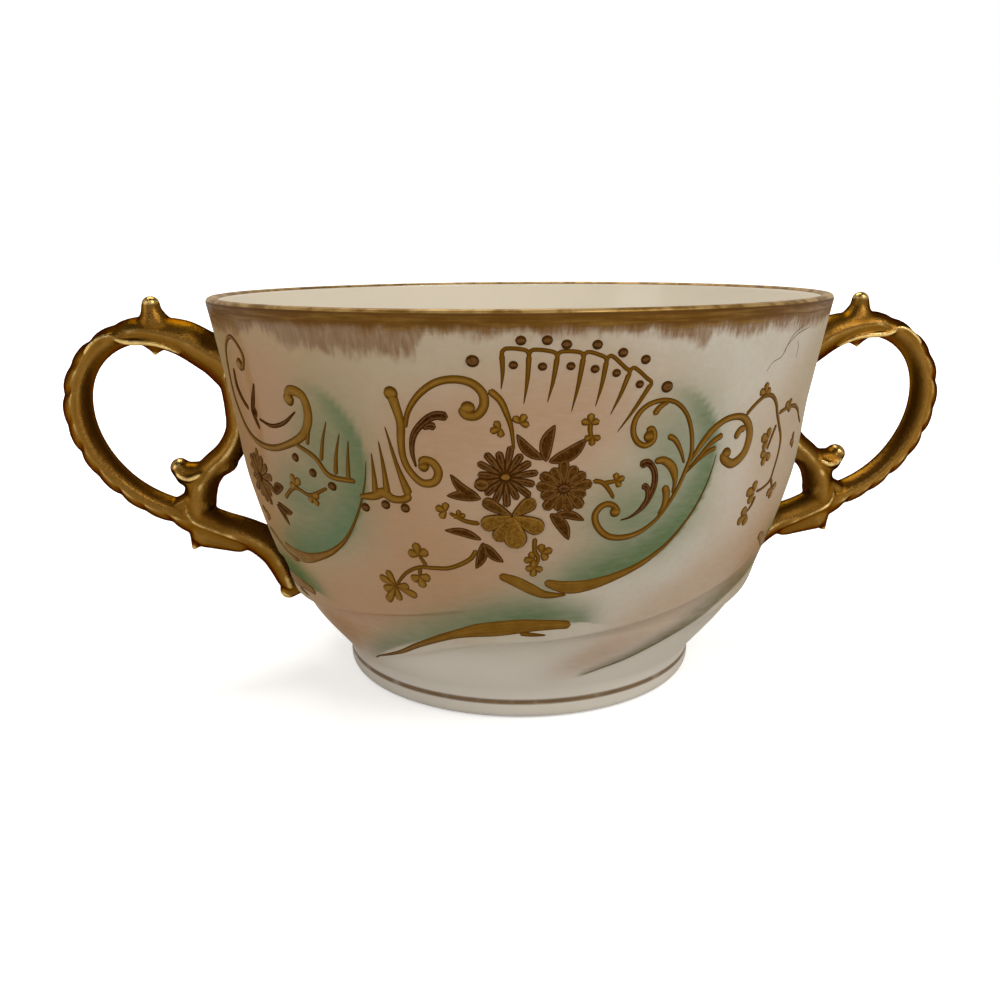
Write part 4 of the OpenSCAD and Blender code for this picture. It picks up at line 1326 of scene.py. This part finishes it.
def blended(start, end, flat=1.0):
    """A tapering limb between two balls, each x, z and radius, rounded at its ends."""
    a, b = np.array(start, float), np.array(end, float)
    way = b[:2] - a[:2]
    way = way / np.linalg.norm(way)
    rows = []
    for degrees in (180, 150, 120):
        t = math.radians(degrees)
        rows.append((*(a[:2] + way * a[2] * math.cos(t)), max(a[2] * math.sin(t), 0.05)))
    for t in np.linspace(0, 1, 6):
        rows.append((*(a[:2] * (1 - t) + b[:2] * t), a[2] * (1 - t) + b[2] * t))
    for degrees in (60, 30, 0):
        t = math.radians(degrees)
        rows.append((*(b[:2] + way * b[2] * math.cos(t)), max(b[2] * math.sin(t), 0.05)))
    return swept([(x, z, r, r * flat) for x, z, r in rows], 1.0, 24, step=0.4)


def flared(spine, depths):
    """A horn with a wide foot and a rounded tip: spine of x, z and half width, and its depths."""
    rows = [(x, z, half, half * share) for (x, z, half), share in zip(spine, depths)]
    (xa, za, _, _), (xb, zb, half, deep) = rows[-2], rows[-1]
    way = np.array([xb - xa, zb - za])
    way = way / np.linalg.norm(way)
    for degrees in (60, 35, 12):
        t = math.radians(degrees)
        x, z = np.array([xb, zb]) + way * half * math.cos(t)
        rows.append((x, z, half * math.sin(t), deep * math.sin(t)))
    return swept(rows, 1.0, 28, step=0.3)


class BOUILLON_OT_handles(bpy.types.Operator):
    """Build the two gilt scroll handles"""
    bl_idname = "bouillon.handles"
    bl_label = "Handles"

    def execute(self, context):
        bowl = BowlForm(context.scene.bouillon_bowl)
        form = HandleForm(context.scene.bouillon_handles, bowl)
        kx, kz = form.knob
        sx, sz = form.scroll
        curl = form.stem_low - 5.3
        tip = form.wall_at(form.tip_h)

        def bark(share, run, angles):
            # Scallops over the outer half of the loop, each a little aslant.
            on = smooth((share - 0.2) / 0.05) * smooth((0.76 - share) / 0.05)
            beat = np.abs(np.sin((run - 1.6 * np.cos(angles)) * math.pi / 4.1))
            outer = smooth((np.cos(angles) + 0.05) / 0.6)
            return -form.twig * on * outer * (1 - beat) ** 1.4 * (1.1 + 0.35 * math.sin(run * 0.7))

        def furrow(share, wide):
            # The crease between the plain inner side and the scalloped outer one.
            on = smooth((share - 0.26) / 0.06) * smooth((0.8 - share) / 0.1)
            return 0.28 * on * np.exp(-((wide + 0.06) / 0.09) ** 2)

        parts = [
            swept(form.main_bar(), 1.25, 60, bark, furrow, step=0.35),
            swept(form.stem_bar(), 1.2, 32),
            # The curl: a wave that leaves the stem and rolls up into a ball.
            blended((sx - 4.8, curl + 0.5, 1.9), (sx - 1.0, curl - 1.4, 2.0), 1.2),
            blended((sx - 1.0, curl - 1.4, 2.0), (sx + 1.4, curl - 1.1, 1.7), 1.2),
            blended((sx + 1.3, curl - 1.4, 1.9), (sx + 2.3, curl - 0.3, 1.55), 1.25),
            blended((sx, curl - 2.2, 1.9), (sx - 0.6, curl - 5.9, 2.3), 1.2),
            # The rounded corner where the stem meets the loop.
            blended((sx + 0.6, sz + 3.2, 1.3), (sx + 2.9, sz + 1.9, 1.3), 1.7),
            # The knob on its wide foot.
            flared(((kx + 0.2, kz - 1.8, 6.2), (kx + 0.3, kz - 0.4, 5.0),
                    (kx + 0.5, kz + 0.8, 3.1), (kx + 0.6, kz + 1.9, 2.0),
                    (kx + 0.7, kz + 2.8, 1.5), (kx + 0.7, kz + 3.4, 1.4)),
                   (0.42, 0.52, 0.75, 0.95, 1.0, 1.0)),
            # The cusp under it.
            flared(((kx + 0.4, kz - 1.2, 4.0), (kx + 0.5, kz - 2.4, 2.6),
                    (kx + 0.6, kz - 3.3, 1.1), (kx + 0.7, kz - 3.9, 0.3)),
                   (0.6, 0.75, 0.95, 1.0)),
            # The pointed leaf under the scroll, nearly flat below.
            blended((sx - 0.9, sz - 2.5, 2.55), (sx - 6.0, sz - 4.0, 2.0), 1.15),
            blended((sx - 0.4, sz - 2.5, 2.6), (sx + 1.2, sz - 5.0, 0.45), 1.1),
            # The rounded tip of the arm, on the bowl.
            blended((tip + 2, form.tip_h + 1.6, 1.9), (tip + 4.0, form.tip_h + 0.2, 1.5)),
        ]
        for face in (-1, 1):
            for line in form.ribs():
                spots = [(x, z, r, r, face * form.depth * share) for x, z, share, r in line]
                parts.append(swept(spots, 1.0, 12, step=0.3))
        vertices, faces, shift = [], [], 0
        for corners, sides in parts:
            vertices.append(corners)
            faces += [tuple(i + shift for i in f) for f in sides]
            shift += len(corners)
        right = np.concatenate(vertices) * MM
        material = gilt(context.scene.bouillon_paint)
        for name, way in (("handle_right", 1), ("handle_left", -1)):
            clear_old(name)
            corners = right * (way, 1, 1)
            if way < 0:
                # The left one is set a little higher on the bowl, down to its tail.
                corners[:, 2] += LEFT_LIFT * MM * smooth((corners[:, 2] / MM - 13) / 8)
            turned = faces if way > 0 else [tuple(reversed(f)) for f in faces]
            piece = new_piece(name, corners, turned, material)
            melt(piece)
            hold_inside(piece, bowl)
            ridge_values(piece)
            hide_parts("cup")
        return {"FINISHED"}


def melt(piece):
    """Joins the overlapping parts of a piece into one skin and softens the joints."""
    remesh = piece.modifiers.new("join", "REMESH")
    remesh.mode = "VOXEL"
    remesh.voxel_size = SKIN_VOXEL
    ease = piece.modifiers.new("soften", "SMOOTH")
    ease.factor = 0.5
    ease.iterations = SKIN_PASSES
    graph = bpy.context.evaluated_depsgraph_get()
    done = bpy.data.meshes.new_from_object(piece.evaluated_get(graph))
    material = piece.data.materials[0]
    piece.modifiers.clear()
    piece.data = done
    done.materials.clear()
    done.materials.append(material)
    done.polygons.foreach_set("use_smooth", [True] * len(done.polygons))


def hold_inside(piece, bowl):
    """Keeps a piece within the CAD box's width and height, and its roots out of the hollow."""
    mesh = piece.data
    spots = np.empty(len(mesh.vertices) * 3)
    mesh.vertices.foreach_get("co", spots)
    spots = spots.reshape(-1, 3)
    for k in (0, 2):
        spots[:, k] = np.clip(spots[:, k], CAD_BOX[0][k], CAD_BOX[1][k])
    wall = (bowl.inside(spots[:, 2] / MM) + ROOT_COVER) * MM
    reach = np.hypot(spots[:, 0], spots[:, 1])
    spots[:, :2] *= np.maximum(wall / reach, 1)[:, None]
    mesh.vertices.foreach_set("co", spots.ravel())
    mesh.update()


def ridge_values(piece):
    """Writes how ridged each point is, from 0 in a hollow to 1 on a crest."""
    mesh = piece.data
    count = len(mesh.vertices)
    place_of = np.empty(count * 3)
    mesh.vertices.foreach_get("co", place_of)
    place_of = place_of.reshape(-1, 3)
    normal = np.empty(count * 3)
    mesh.vertices.foreach_get("normal", normal)
    normal = normal.reshape(-1, 3)
    edges = np.empty(len(mesh.edges) * 2, int)
    mesh.edges.foreach_get("vertices", edges)
    a, b = edges.reshape(-1, 2).T
    ties = np.bincount(a, minlength=count) + np.bincount(b, minlength=count)

    def around(values):
        total = np.zeros_like(values)
        np.add.at(total, a, values[b])
        np.add.at(total, b, values[a])
        shape = ties.reshape((-1,) + (1,) * (values.ndim - 1))
        return total / np.maximum(shape, 1)

    spread = place_of
    for _ in range(6):
        spread = around(spread)
    bulge = ((place_of - spread) * normal).sum(1)
    for _ in range(2):
        bulge = around(bulge)
    low, high = np.percentile(bulge, (4, 97))
    ridge = np.clip((bulge - low) / (high - low), 0, 1)
    layer = mesh.attributes.new("ridge", "FLOAT", "POINT")
    layer.data.foreach_set("value", ridge.astype(np.float32))


def to_paint(context):
    """The panel's colours, and the bowl that they go on."""
    return context.scene.bouillon_paint, BowlForm(context.scene.bouillon_bowl)


class BOUILLON_OT_crescents(bpy.types.Operator):
    """Paint the gold edges of the crescents and the low sweeps"""
    bl_idname = "bouillon.crescents"
    bl_label = "Gold crescents"

    def execute(self, context):
        paint, bowl = to_paint(context)
        work = StrokeWork(paint.raised / MM * 0.7)
        for panel in (-1, 0, 1):
            shift = np.array([panel * PANEL, 0])
            work.stroke(np.array(SWOOSH) + shift,
                        (0.08, 0.15, 0.2, 0.25, 0.35, 0.5, 0.65, 0.9, 1.1, 0.55), 0.8)
            work.stroke(np.array(SWOOSH_BLOB) + shift, (0.55, 0.85, 0.85, 0.6, 0.2), 0.9)
        for panel in (-1, 0):
            shift = np.array([panel * PANEL, 0])
            work.stroke(np.array(SWEEP_GOLD) + shift,
                        (0.1, 0.2, 0.3, 0.4, 0.5, 0.6, 0.75, 1.2, 1.25, 0.95, 0.7), 0.8)
            work.stroke(np.array(((-5.0, 17.0), (-2.8, 16.8), (-1.0, 16.7))) + shift,
                        (0.4, 0.35, 0.15), 0.7)
        # A thin dark line along the fold's edge: painted shade in the crease.
        work.stroke(FOLD_EDGE[:5], (0.08, 0.15, 0.12, 0.05), 0.1)
        work.lay("gold_crescents", bowl, raised_gold(paint))
        return {"FINISHED"}


class BOUILLON_OT_scrolls(bpy.types.Operator):
    """Paint the raised gold scrolls and the red-brown leaves inside them"""
    bl_idname = "bouillon.scrolls"
    bl_label = "Scrolls"

    def execute(self, context):
        paint, bowl = to_paint(context)
        work = StrokeWork(paint.raised / MM)
        gold = [
            (RIGHT_S, (0.4, 0.42, 0.36, 0.32, 0.36, 0.38, 0.36, 0.45, 0.48, 0.4)),
            (RIBBON, (0.2, 0.45, 0.55, 0.5, 0.5, 0.65, 0.8, 0.75, 0.7, 0.75)),
            (LEFT_C, (0.3, 0.42, 0.5, 0.55, 0.6, 0.6)),
            (LEFT_STEM, (0.75, 0.62, 0.58, 0.5, 0.52, 0.58, 0.6, 0.55)),
            (LEFT_TWIG, (0.5, 0.42, 0.3, 0.2)),
            (COMB_BASE, (0.35, 0.6, 0.7, 0.55, 0.6)),
            (SIDE_SCROLL, (0.4, 0.35, 0.38, 0.45, 0.5, 0.55, 0.8, 0.7)),
            (SIDE_CHAIN, (0.3, 0.4, 0.42, 0.35)),
            *RIGHT_LEAVES,
            *RIBBON_BUDS,
        ]
        for points, halves in gold:
            work.stroke(points, halves, 0.95, lanes=9, step=0.22)
        for n, spike in enumerate(COMB_SPIKES):
            work.stroke(spike, (0.5 + 0.12 * n, 0.4, 0.25, 0.1), 0.85)
        for spike in SIDE_SPIKES:
            work.stroke(spike, (0.4, 0.28, 0.1), 0.85)
        for x, y, radius in SCROLL_KNOBS:
            work.dot((x, y), radius, 0.95, base=0.04, ring=0.6)
        work.lay("gold_scrolls", bowl, raised_gold(paint))
        dark = StrokeWork(paint.raised / MM * 0.9)
        for points, halves in DARK_COMMAS + LEFT_ACANTHUS + SIDE_PEN:
            dark.stroke(points, halves, 0.0, base=0.02, step=0.22, lanes=9, plain=True)
        dark.dot((-44.8, 44.6), 0.9, 0.0)
        dark.lay("brown_leaves_in_scrolls", bowl, brown_enamel(paint))
        return {"FINISHED"}


class BOUILLON_OT_fan(bpy.types.Operator):
    """Paint the fan of arches and the dots"""
    bl_idname = "bouillon.fan"
    bl_label = "Fan and dots"

    def execute(self, context):
        paint, bowl = to_paint(context)
        work = StrokeWork(paint.raised / MM * 0.8)
        tops, feet = np.array(FAN_TOPS), np.array(FAN_FEET)
        for top, foot in zip(tops - (0, 0.6), feet):
            work.stroke((top, (top + foot) / 2 + (0.12, 0), foot), (0.36, 0.26, 0.06), 0.7)
        for a, b in zip(tops[:-1], tops[1:]):
            arch = (a - (0, 1.1), a + (0.05, -0.35), a + (0.5, 0),
                    b - (0.5, 0), b - (0.05, 0.35), b - (0, 1.1))
            work.stroke(arch, 0.28, 0.75, step=0.2)
        work.lay("gold_fan", bowl, raised_gold(paint))
        drops = StrokeWork(paint.raised / MM * 1.4)
        for spots, radius in ((FAN_DOTS, 0.52), (TOP_DOTS, 0.6), (BIG_DOTS, 0.76),
                              (COMB_DOTS + SIDE_DOTS, 0.65)):
            for centre in spots:
                drops.dot(centre, radius, 0.1, ring=0.5)
        drops.lay("brown_dots", bowl, brown_enamel(paint))
        return {"FINISHED"}


class BOUILLON_OT_flowers(bpy.types.Operator):
    """Paint the daisies, the gold bloom and their leaves"""
    bl_idname = "bouillon.flowers"
    bl_label = "Flowers"

    def execute(self, context):
        paint, bowl = to_paint(context)
        leaves = StrokeWork(paint.raised / MM * 0.8)
        for foot, end, half, bend in LEAVES + SIDE_LEAVES:
            leaves.leaf(foot, end, half, 0.15, bend)
        leaves.lay("brown_leaves", bowl, brown_enamel(paint))
        blooms = StrokeWork(paint.raised / MM)
        for spec in DAISIES:
            daisy(blooms, spec)
        for n, (x, y, half, tone) in enumerate(BLOOM_PETALS):
            blooms.petal(BLOOM, (x, y), half, tone, base=0.08 + 0.03 * n, blunt=0.95)
        # The curled petal of the brown daisy.
        blooms.dot((-9.4, 38.3), 0.9, 0.3, base=0.12, ring=0.6)
        blooms.lay("painted_flowers", bowl, brown_enamel(paint))
        return {"FINISHED"}


class BOUILLON_OT_sprigs(bpy.types.Operator):
    """Paint the fine gold twigs with their clover leaves, and the hairlines"""
    bl_idname = "bouillon.sprigs"
    bl_label = "Sprigs"

    def execute(self, context):
        paint, bowl = to_paint(context)
        work = StrokeWork(paint.raised / MM * 0.8)
        for points in TWIGS + (SIDE_TWIG,):
            work.stroke(points, (0.36, 0.34, 0.26), 0.85)
        for x, y, heading, size in CLOVERS + SIDE_CLOVERS:
            work.clover((x, y), heading, size, 0.95)
        for tip in CLUSTER_TIPS:
            work.petal(CLUSTER, tip, 0.65, 0.95, blunt=1.0)
        work.lay("gold_sprigs", bowl, raised_gold(paint))
        lines = StrokeWork(paint.raised / MM * 0.2)
        for points in HAIRLINES:
            lines.stroke(points, (0.06, 0.1, 0.06), 0.0, lanes=5)
        lines.lay("hairlines", bowl, brown_enamel(paint))
        return {"FINISHED"}


# Lamps: name, place, height of the aim on the cup's axis, size, power and tint. The low wide one
# lifts the underside of the curve, and the small one glints on the gilding.
LAMPS = (
    ("lamp_key", (0.42, -0.5, 0.75), 0.03, (0.5, 0.4), 4.6, (1.0, 0.97, 0.93)),
    ("lamp_left", (-0.7, -0.3, 0.35), 0.03, (0.3, 0.5), 1.1, (1.0, 0.97, 0.93)),
    ("lamp_top", (-0.1, 0.35, 0.8), 0.04, (0.5, 0.4), 4.2, (1.0, 0.98, 0.95)),
    ("lamp_low", (0.3, -0.55, 0.04), 0.0, (0.6, 0.1), 0.4, (1.0, 0.98, 0.96)),
    ("lamp_glint", (-0.12, -0.45, 0.42), 0.04, (0.025, 0.04), 0.16, (1.0, 0.97, 0.92)),
)


def soft_lamp(name, place_at, aim_height, size, power, tint):
    """A soft lamp pointed at the cup."""
    clear_old(name)
    data = bpy.data.lights.new(name, "AREA")
    data.shape = "RECTANGLE"
    data.size, data.size_y = size
    data.energy = power
    data.color = tint
    lamp = bpy.data.objects.new(name, data)
    lamp.location = place_at
    way = Vector((0, 0, aim_height)) - Vector(place_at)
    lamp.rotation_euler = way.to_track_quat("-Z", "Y").to_euler()
    bpy.context.scene.collection.objects.link(lamp)


class BOUILLON_OT_stage(bpy.types.Operator):
    """Set the pale floor, the soft lamps and the camera"""
    bl_idname = "bouillon.stage"
    bl_label = "Stage"

    def execute(self, context):
        scene = context.scene
        stage = scene.bouillon_stage
        turn = Matrix.Rotation(stage.camera_turn, 4, "Z")
        aim = Matrix.Rotation(stage.look_aside + stage.camera_turn, 4, "Z")
        tilt = Matrix.Rotation(math.pi / 2 - stage.look_down, 4, "X")
        roll = Matrix.Rotation(stage.roll, 4, "Z")
        eye = turn @ Vector((0, -stage.camera_distance, stage.camera_height))
        data = bpy.data.cameras.new("camera")
        data.lens = stage.focal
        data.sensor_width = 36.0
        data.clip_start = 0.005
        data.clip_end = 20.0
        camera = bpy.data.objects.new("camera", data)
        camera.matrix_world = Matrix.Translation(eye) @ aim @ tilt @ roll
        scene.collection.objects.link(camera)
        scene.camera = camera

        mesh = bpy.data.meshes.new("floor")
        reach, sides = 3.0, 64
        ring = [(reach * math.cos(2 * math.pi * k / sides),
                 reach * math.sin(2 * math.pi * k / sides), 0) for k in range(sides)]
        mesh.from_pydata(ring, [], [tuple(range(sides))])
        floor = bpy.data.objects.new("floor", mesh)
        scene.collection.objects.link(floor)
        floor.data.materials.append(pale_floor())

        for name, place_at, aim_height, size, power, tint in LAMPS:
            soft_lamp(name, place_at, aim_height, size, power * stage.lamp_level, tint)
        pale_sky(scene, stage.sky_level)
        scene.view_settings.view_transform = "Standard"
        return {"FINISHED"}


def seen_directly(tree):
    """1 for camera, mirror and see-through rays, which show the white background."""
    path = tree.add("ShaderNodeLightPath").outputs
    seen = tree.math("MAXIMUM", path["Is Camera Ray"], path["Is Glossy Ray"])
    return tree.math("MAXIMUM", seen, path["Is Transmission Ray"])


def pale_floor():
    """A pale matt floor that reads as white and keeps the cup's shadow."""
    material, tree, shader = new_material("pale floor")
    here = in_millimetres(tree)[0]
    cloud = tree.noise(here, 0.004, 2.0)
    tone = tree.mix(cloud, (0.78, 0.78, 0.78, 1), (0.82, 0.82, 0.82, 1))
    tree.put(shader.inputs["Base Color"], tone)
    shader.inputs["Roughness"].default_value = 0.9
    shader.inputs["Specular IOR Level"].default_value = 0.1
    away = tree.add("ShaderNodeVectorMath", operation="LENGTH")
    tree.put(away.inputs[0], here)
    near = (0.5, 0.5, 0.5, 1)
    glow = tree.mix(tree.step(away.outputs["Value"], 90, 420), near, (1, 1, 1, 1))
    lit = tree.mix(seen_directly(tree), (0, 0, 0, 1), glow)
    tree.put(shader.inputs["Emission Color"], lit)
    shader.inputs["Emission Strength"].default_value = 1.0
    return material


def pale_sky(scene, level):
    """Soft even light all round, white where the background is seen."""
    world = scene.world or bpy.data.worlds.new("studio")
    scene.world = world
    world.use_nodes = True
    world.node_tree.nodes.clear()
    tree = Tree(world.node_tree)
    soft = tree.add("ShaderNodeBackground")
    soft.inputs["Color"].default_value = (1.0, 0.98, 0.95, 1)
    soft.inputs["Strength"].default_value = level
    place_node = tree.add("ShaderNodeTexCoord")
    up = tree.add("ShaderNodeSeparateXYZ")
    tree.links.new(place_node.outputs["Generated"], up.inputs[0])
    white = tree.add("ShaderNodeBackground")
    rise = tree.step(up.outputs[2], 0.35, 0.95)
    tree.put(white.inputs["Color"], tree.mix(rise, (1, 1, 1, 1), (0.16, 0.16, 0.16, 1)))
    white.inputs["Strength"].default_value = 1.0
    mix = tree.add("ShaderNodeMixShader")
    tree.put(mix.inputs[0], seen_directly(tree))
    tree.links.new(soft.outputs[0], mix.inputs[1])
    tree.links.new(white.outputs[0], mix.inputs[2])
    output = tree.add("ShaderNodeOutputWorld")
    tree.links.new(mix.outputs[0], output.inputs["Surface"])


class BOUILLON_PT_panel(bpy.types.Panel):
    """Lists the cup's pieces and sizes"""
    bl_idname = "BOUILLON_PT_panel"
    bl_label = "Bouillon cup"
    bl_space_type = "VIEW_3D"
    bl_region_type = "UI"
    bl_category = "Cup"

    def draw(self, context):
        layout = self.layout
        for operator in OPERATORS:
            layout.operator(operator.bl_idname)
        for name, kind in GROUPS.items():
            box = layout.box()
            box.label(text=kind.__doc__.rstrip("."))
            for key in kind.__annotations__:
                box.prop(getattr(context.scene, name), key)


GROUPS = {"bouillon_bowl": BowlSizes, "bouillon_handles": HandleSizes,
          "bouillon_paint": PaintColours, "bouillon_stage": StageSettings}
OPERATORS = (BOUILLON_OT_stage, BOUILLON_OT_bowl, BOUILLON_OT_handles, BOUILLON_OT_crescents,
             BOUILLON_OT_scrolls, BOUILLON_OT_fan, BOUILLON_OT_flowers, BOUILLON_OT_sprigs)


def register():
    for kind in (*GROUPS.values(), *OPERATORS, BOUILLON_PT_panel):
        bpy.utils.register_class(kind)
    for name, kind in GROUPS.items():
        setattr(bpy.types.Scene, name, bpy.props.PointerProperty(type=kind))


def unregister():
    for name in GROUPS:
        delattr(bpy.types.Scene, name)
    for kind in reversed((*GROUPS.values(), *OPERATORS, BOUILLON_PT_panel)):
        bpy.utils.unregister_class(kind)


def main():
    register()
    bpy.ops.bouillon.stage()
    bpy.ops.bouillon.bowl()
    bpy.ops.bouillon.handles()
    bpy.ops.bouillon.crescents()
    bpy.ops.bouillon.scrolls()
    bpy.ops.bouillon.fan()
    bpy.ops.bouillon.flowers()
    bpy.ops.bouillon.sprigs()


if __name__ == "__main__":
    main()
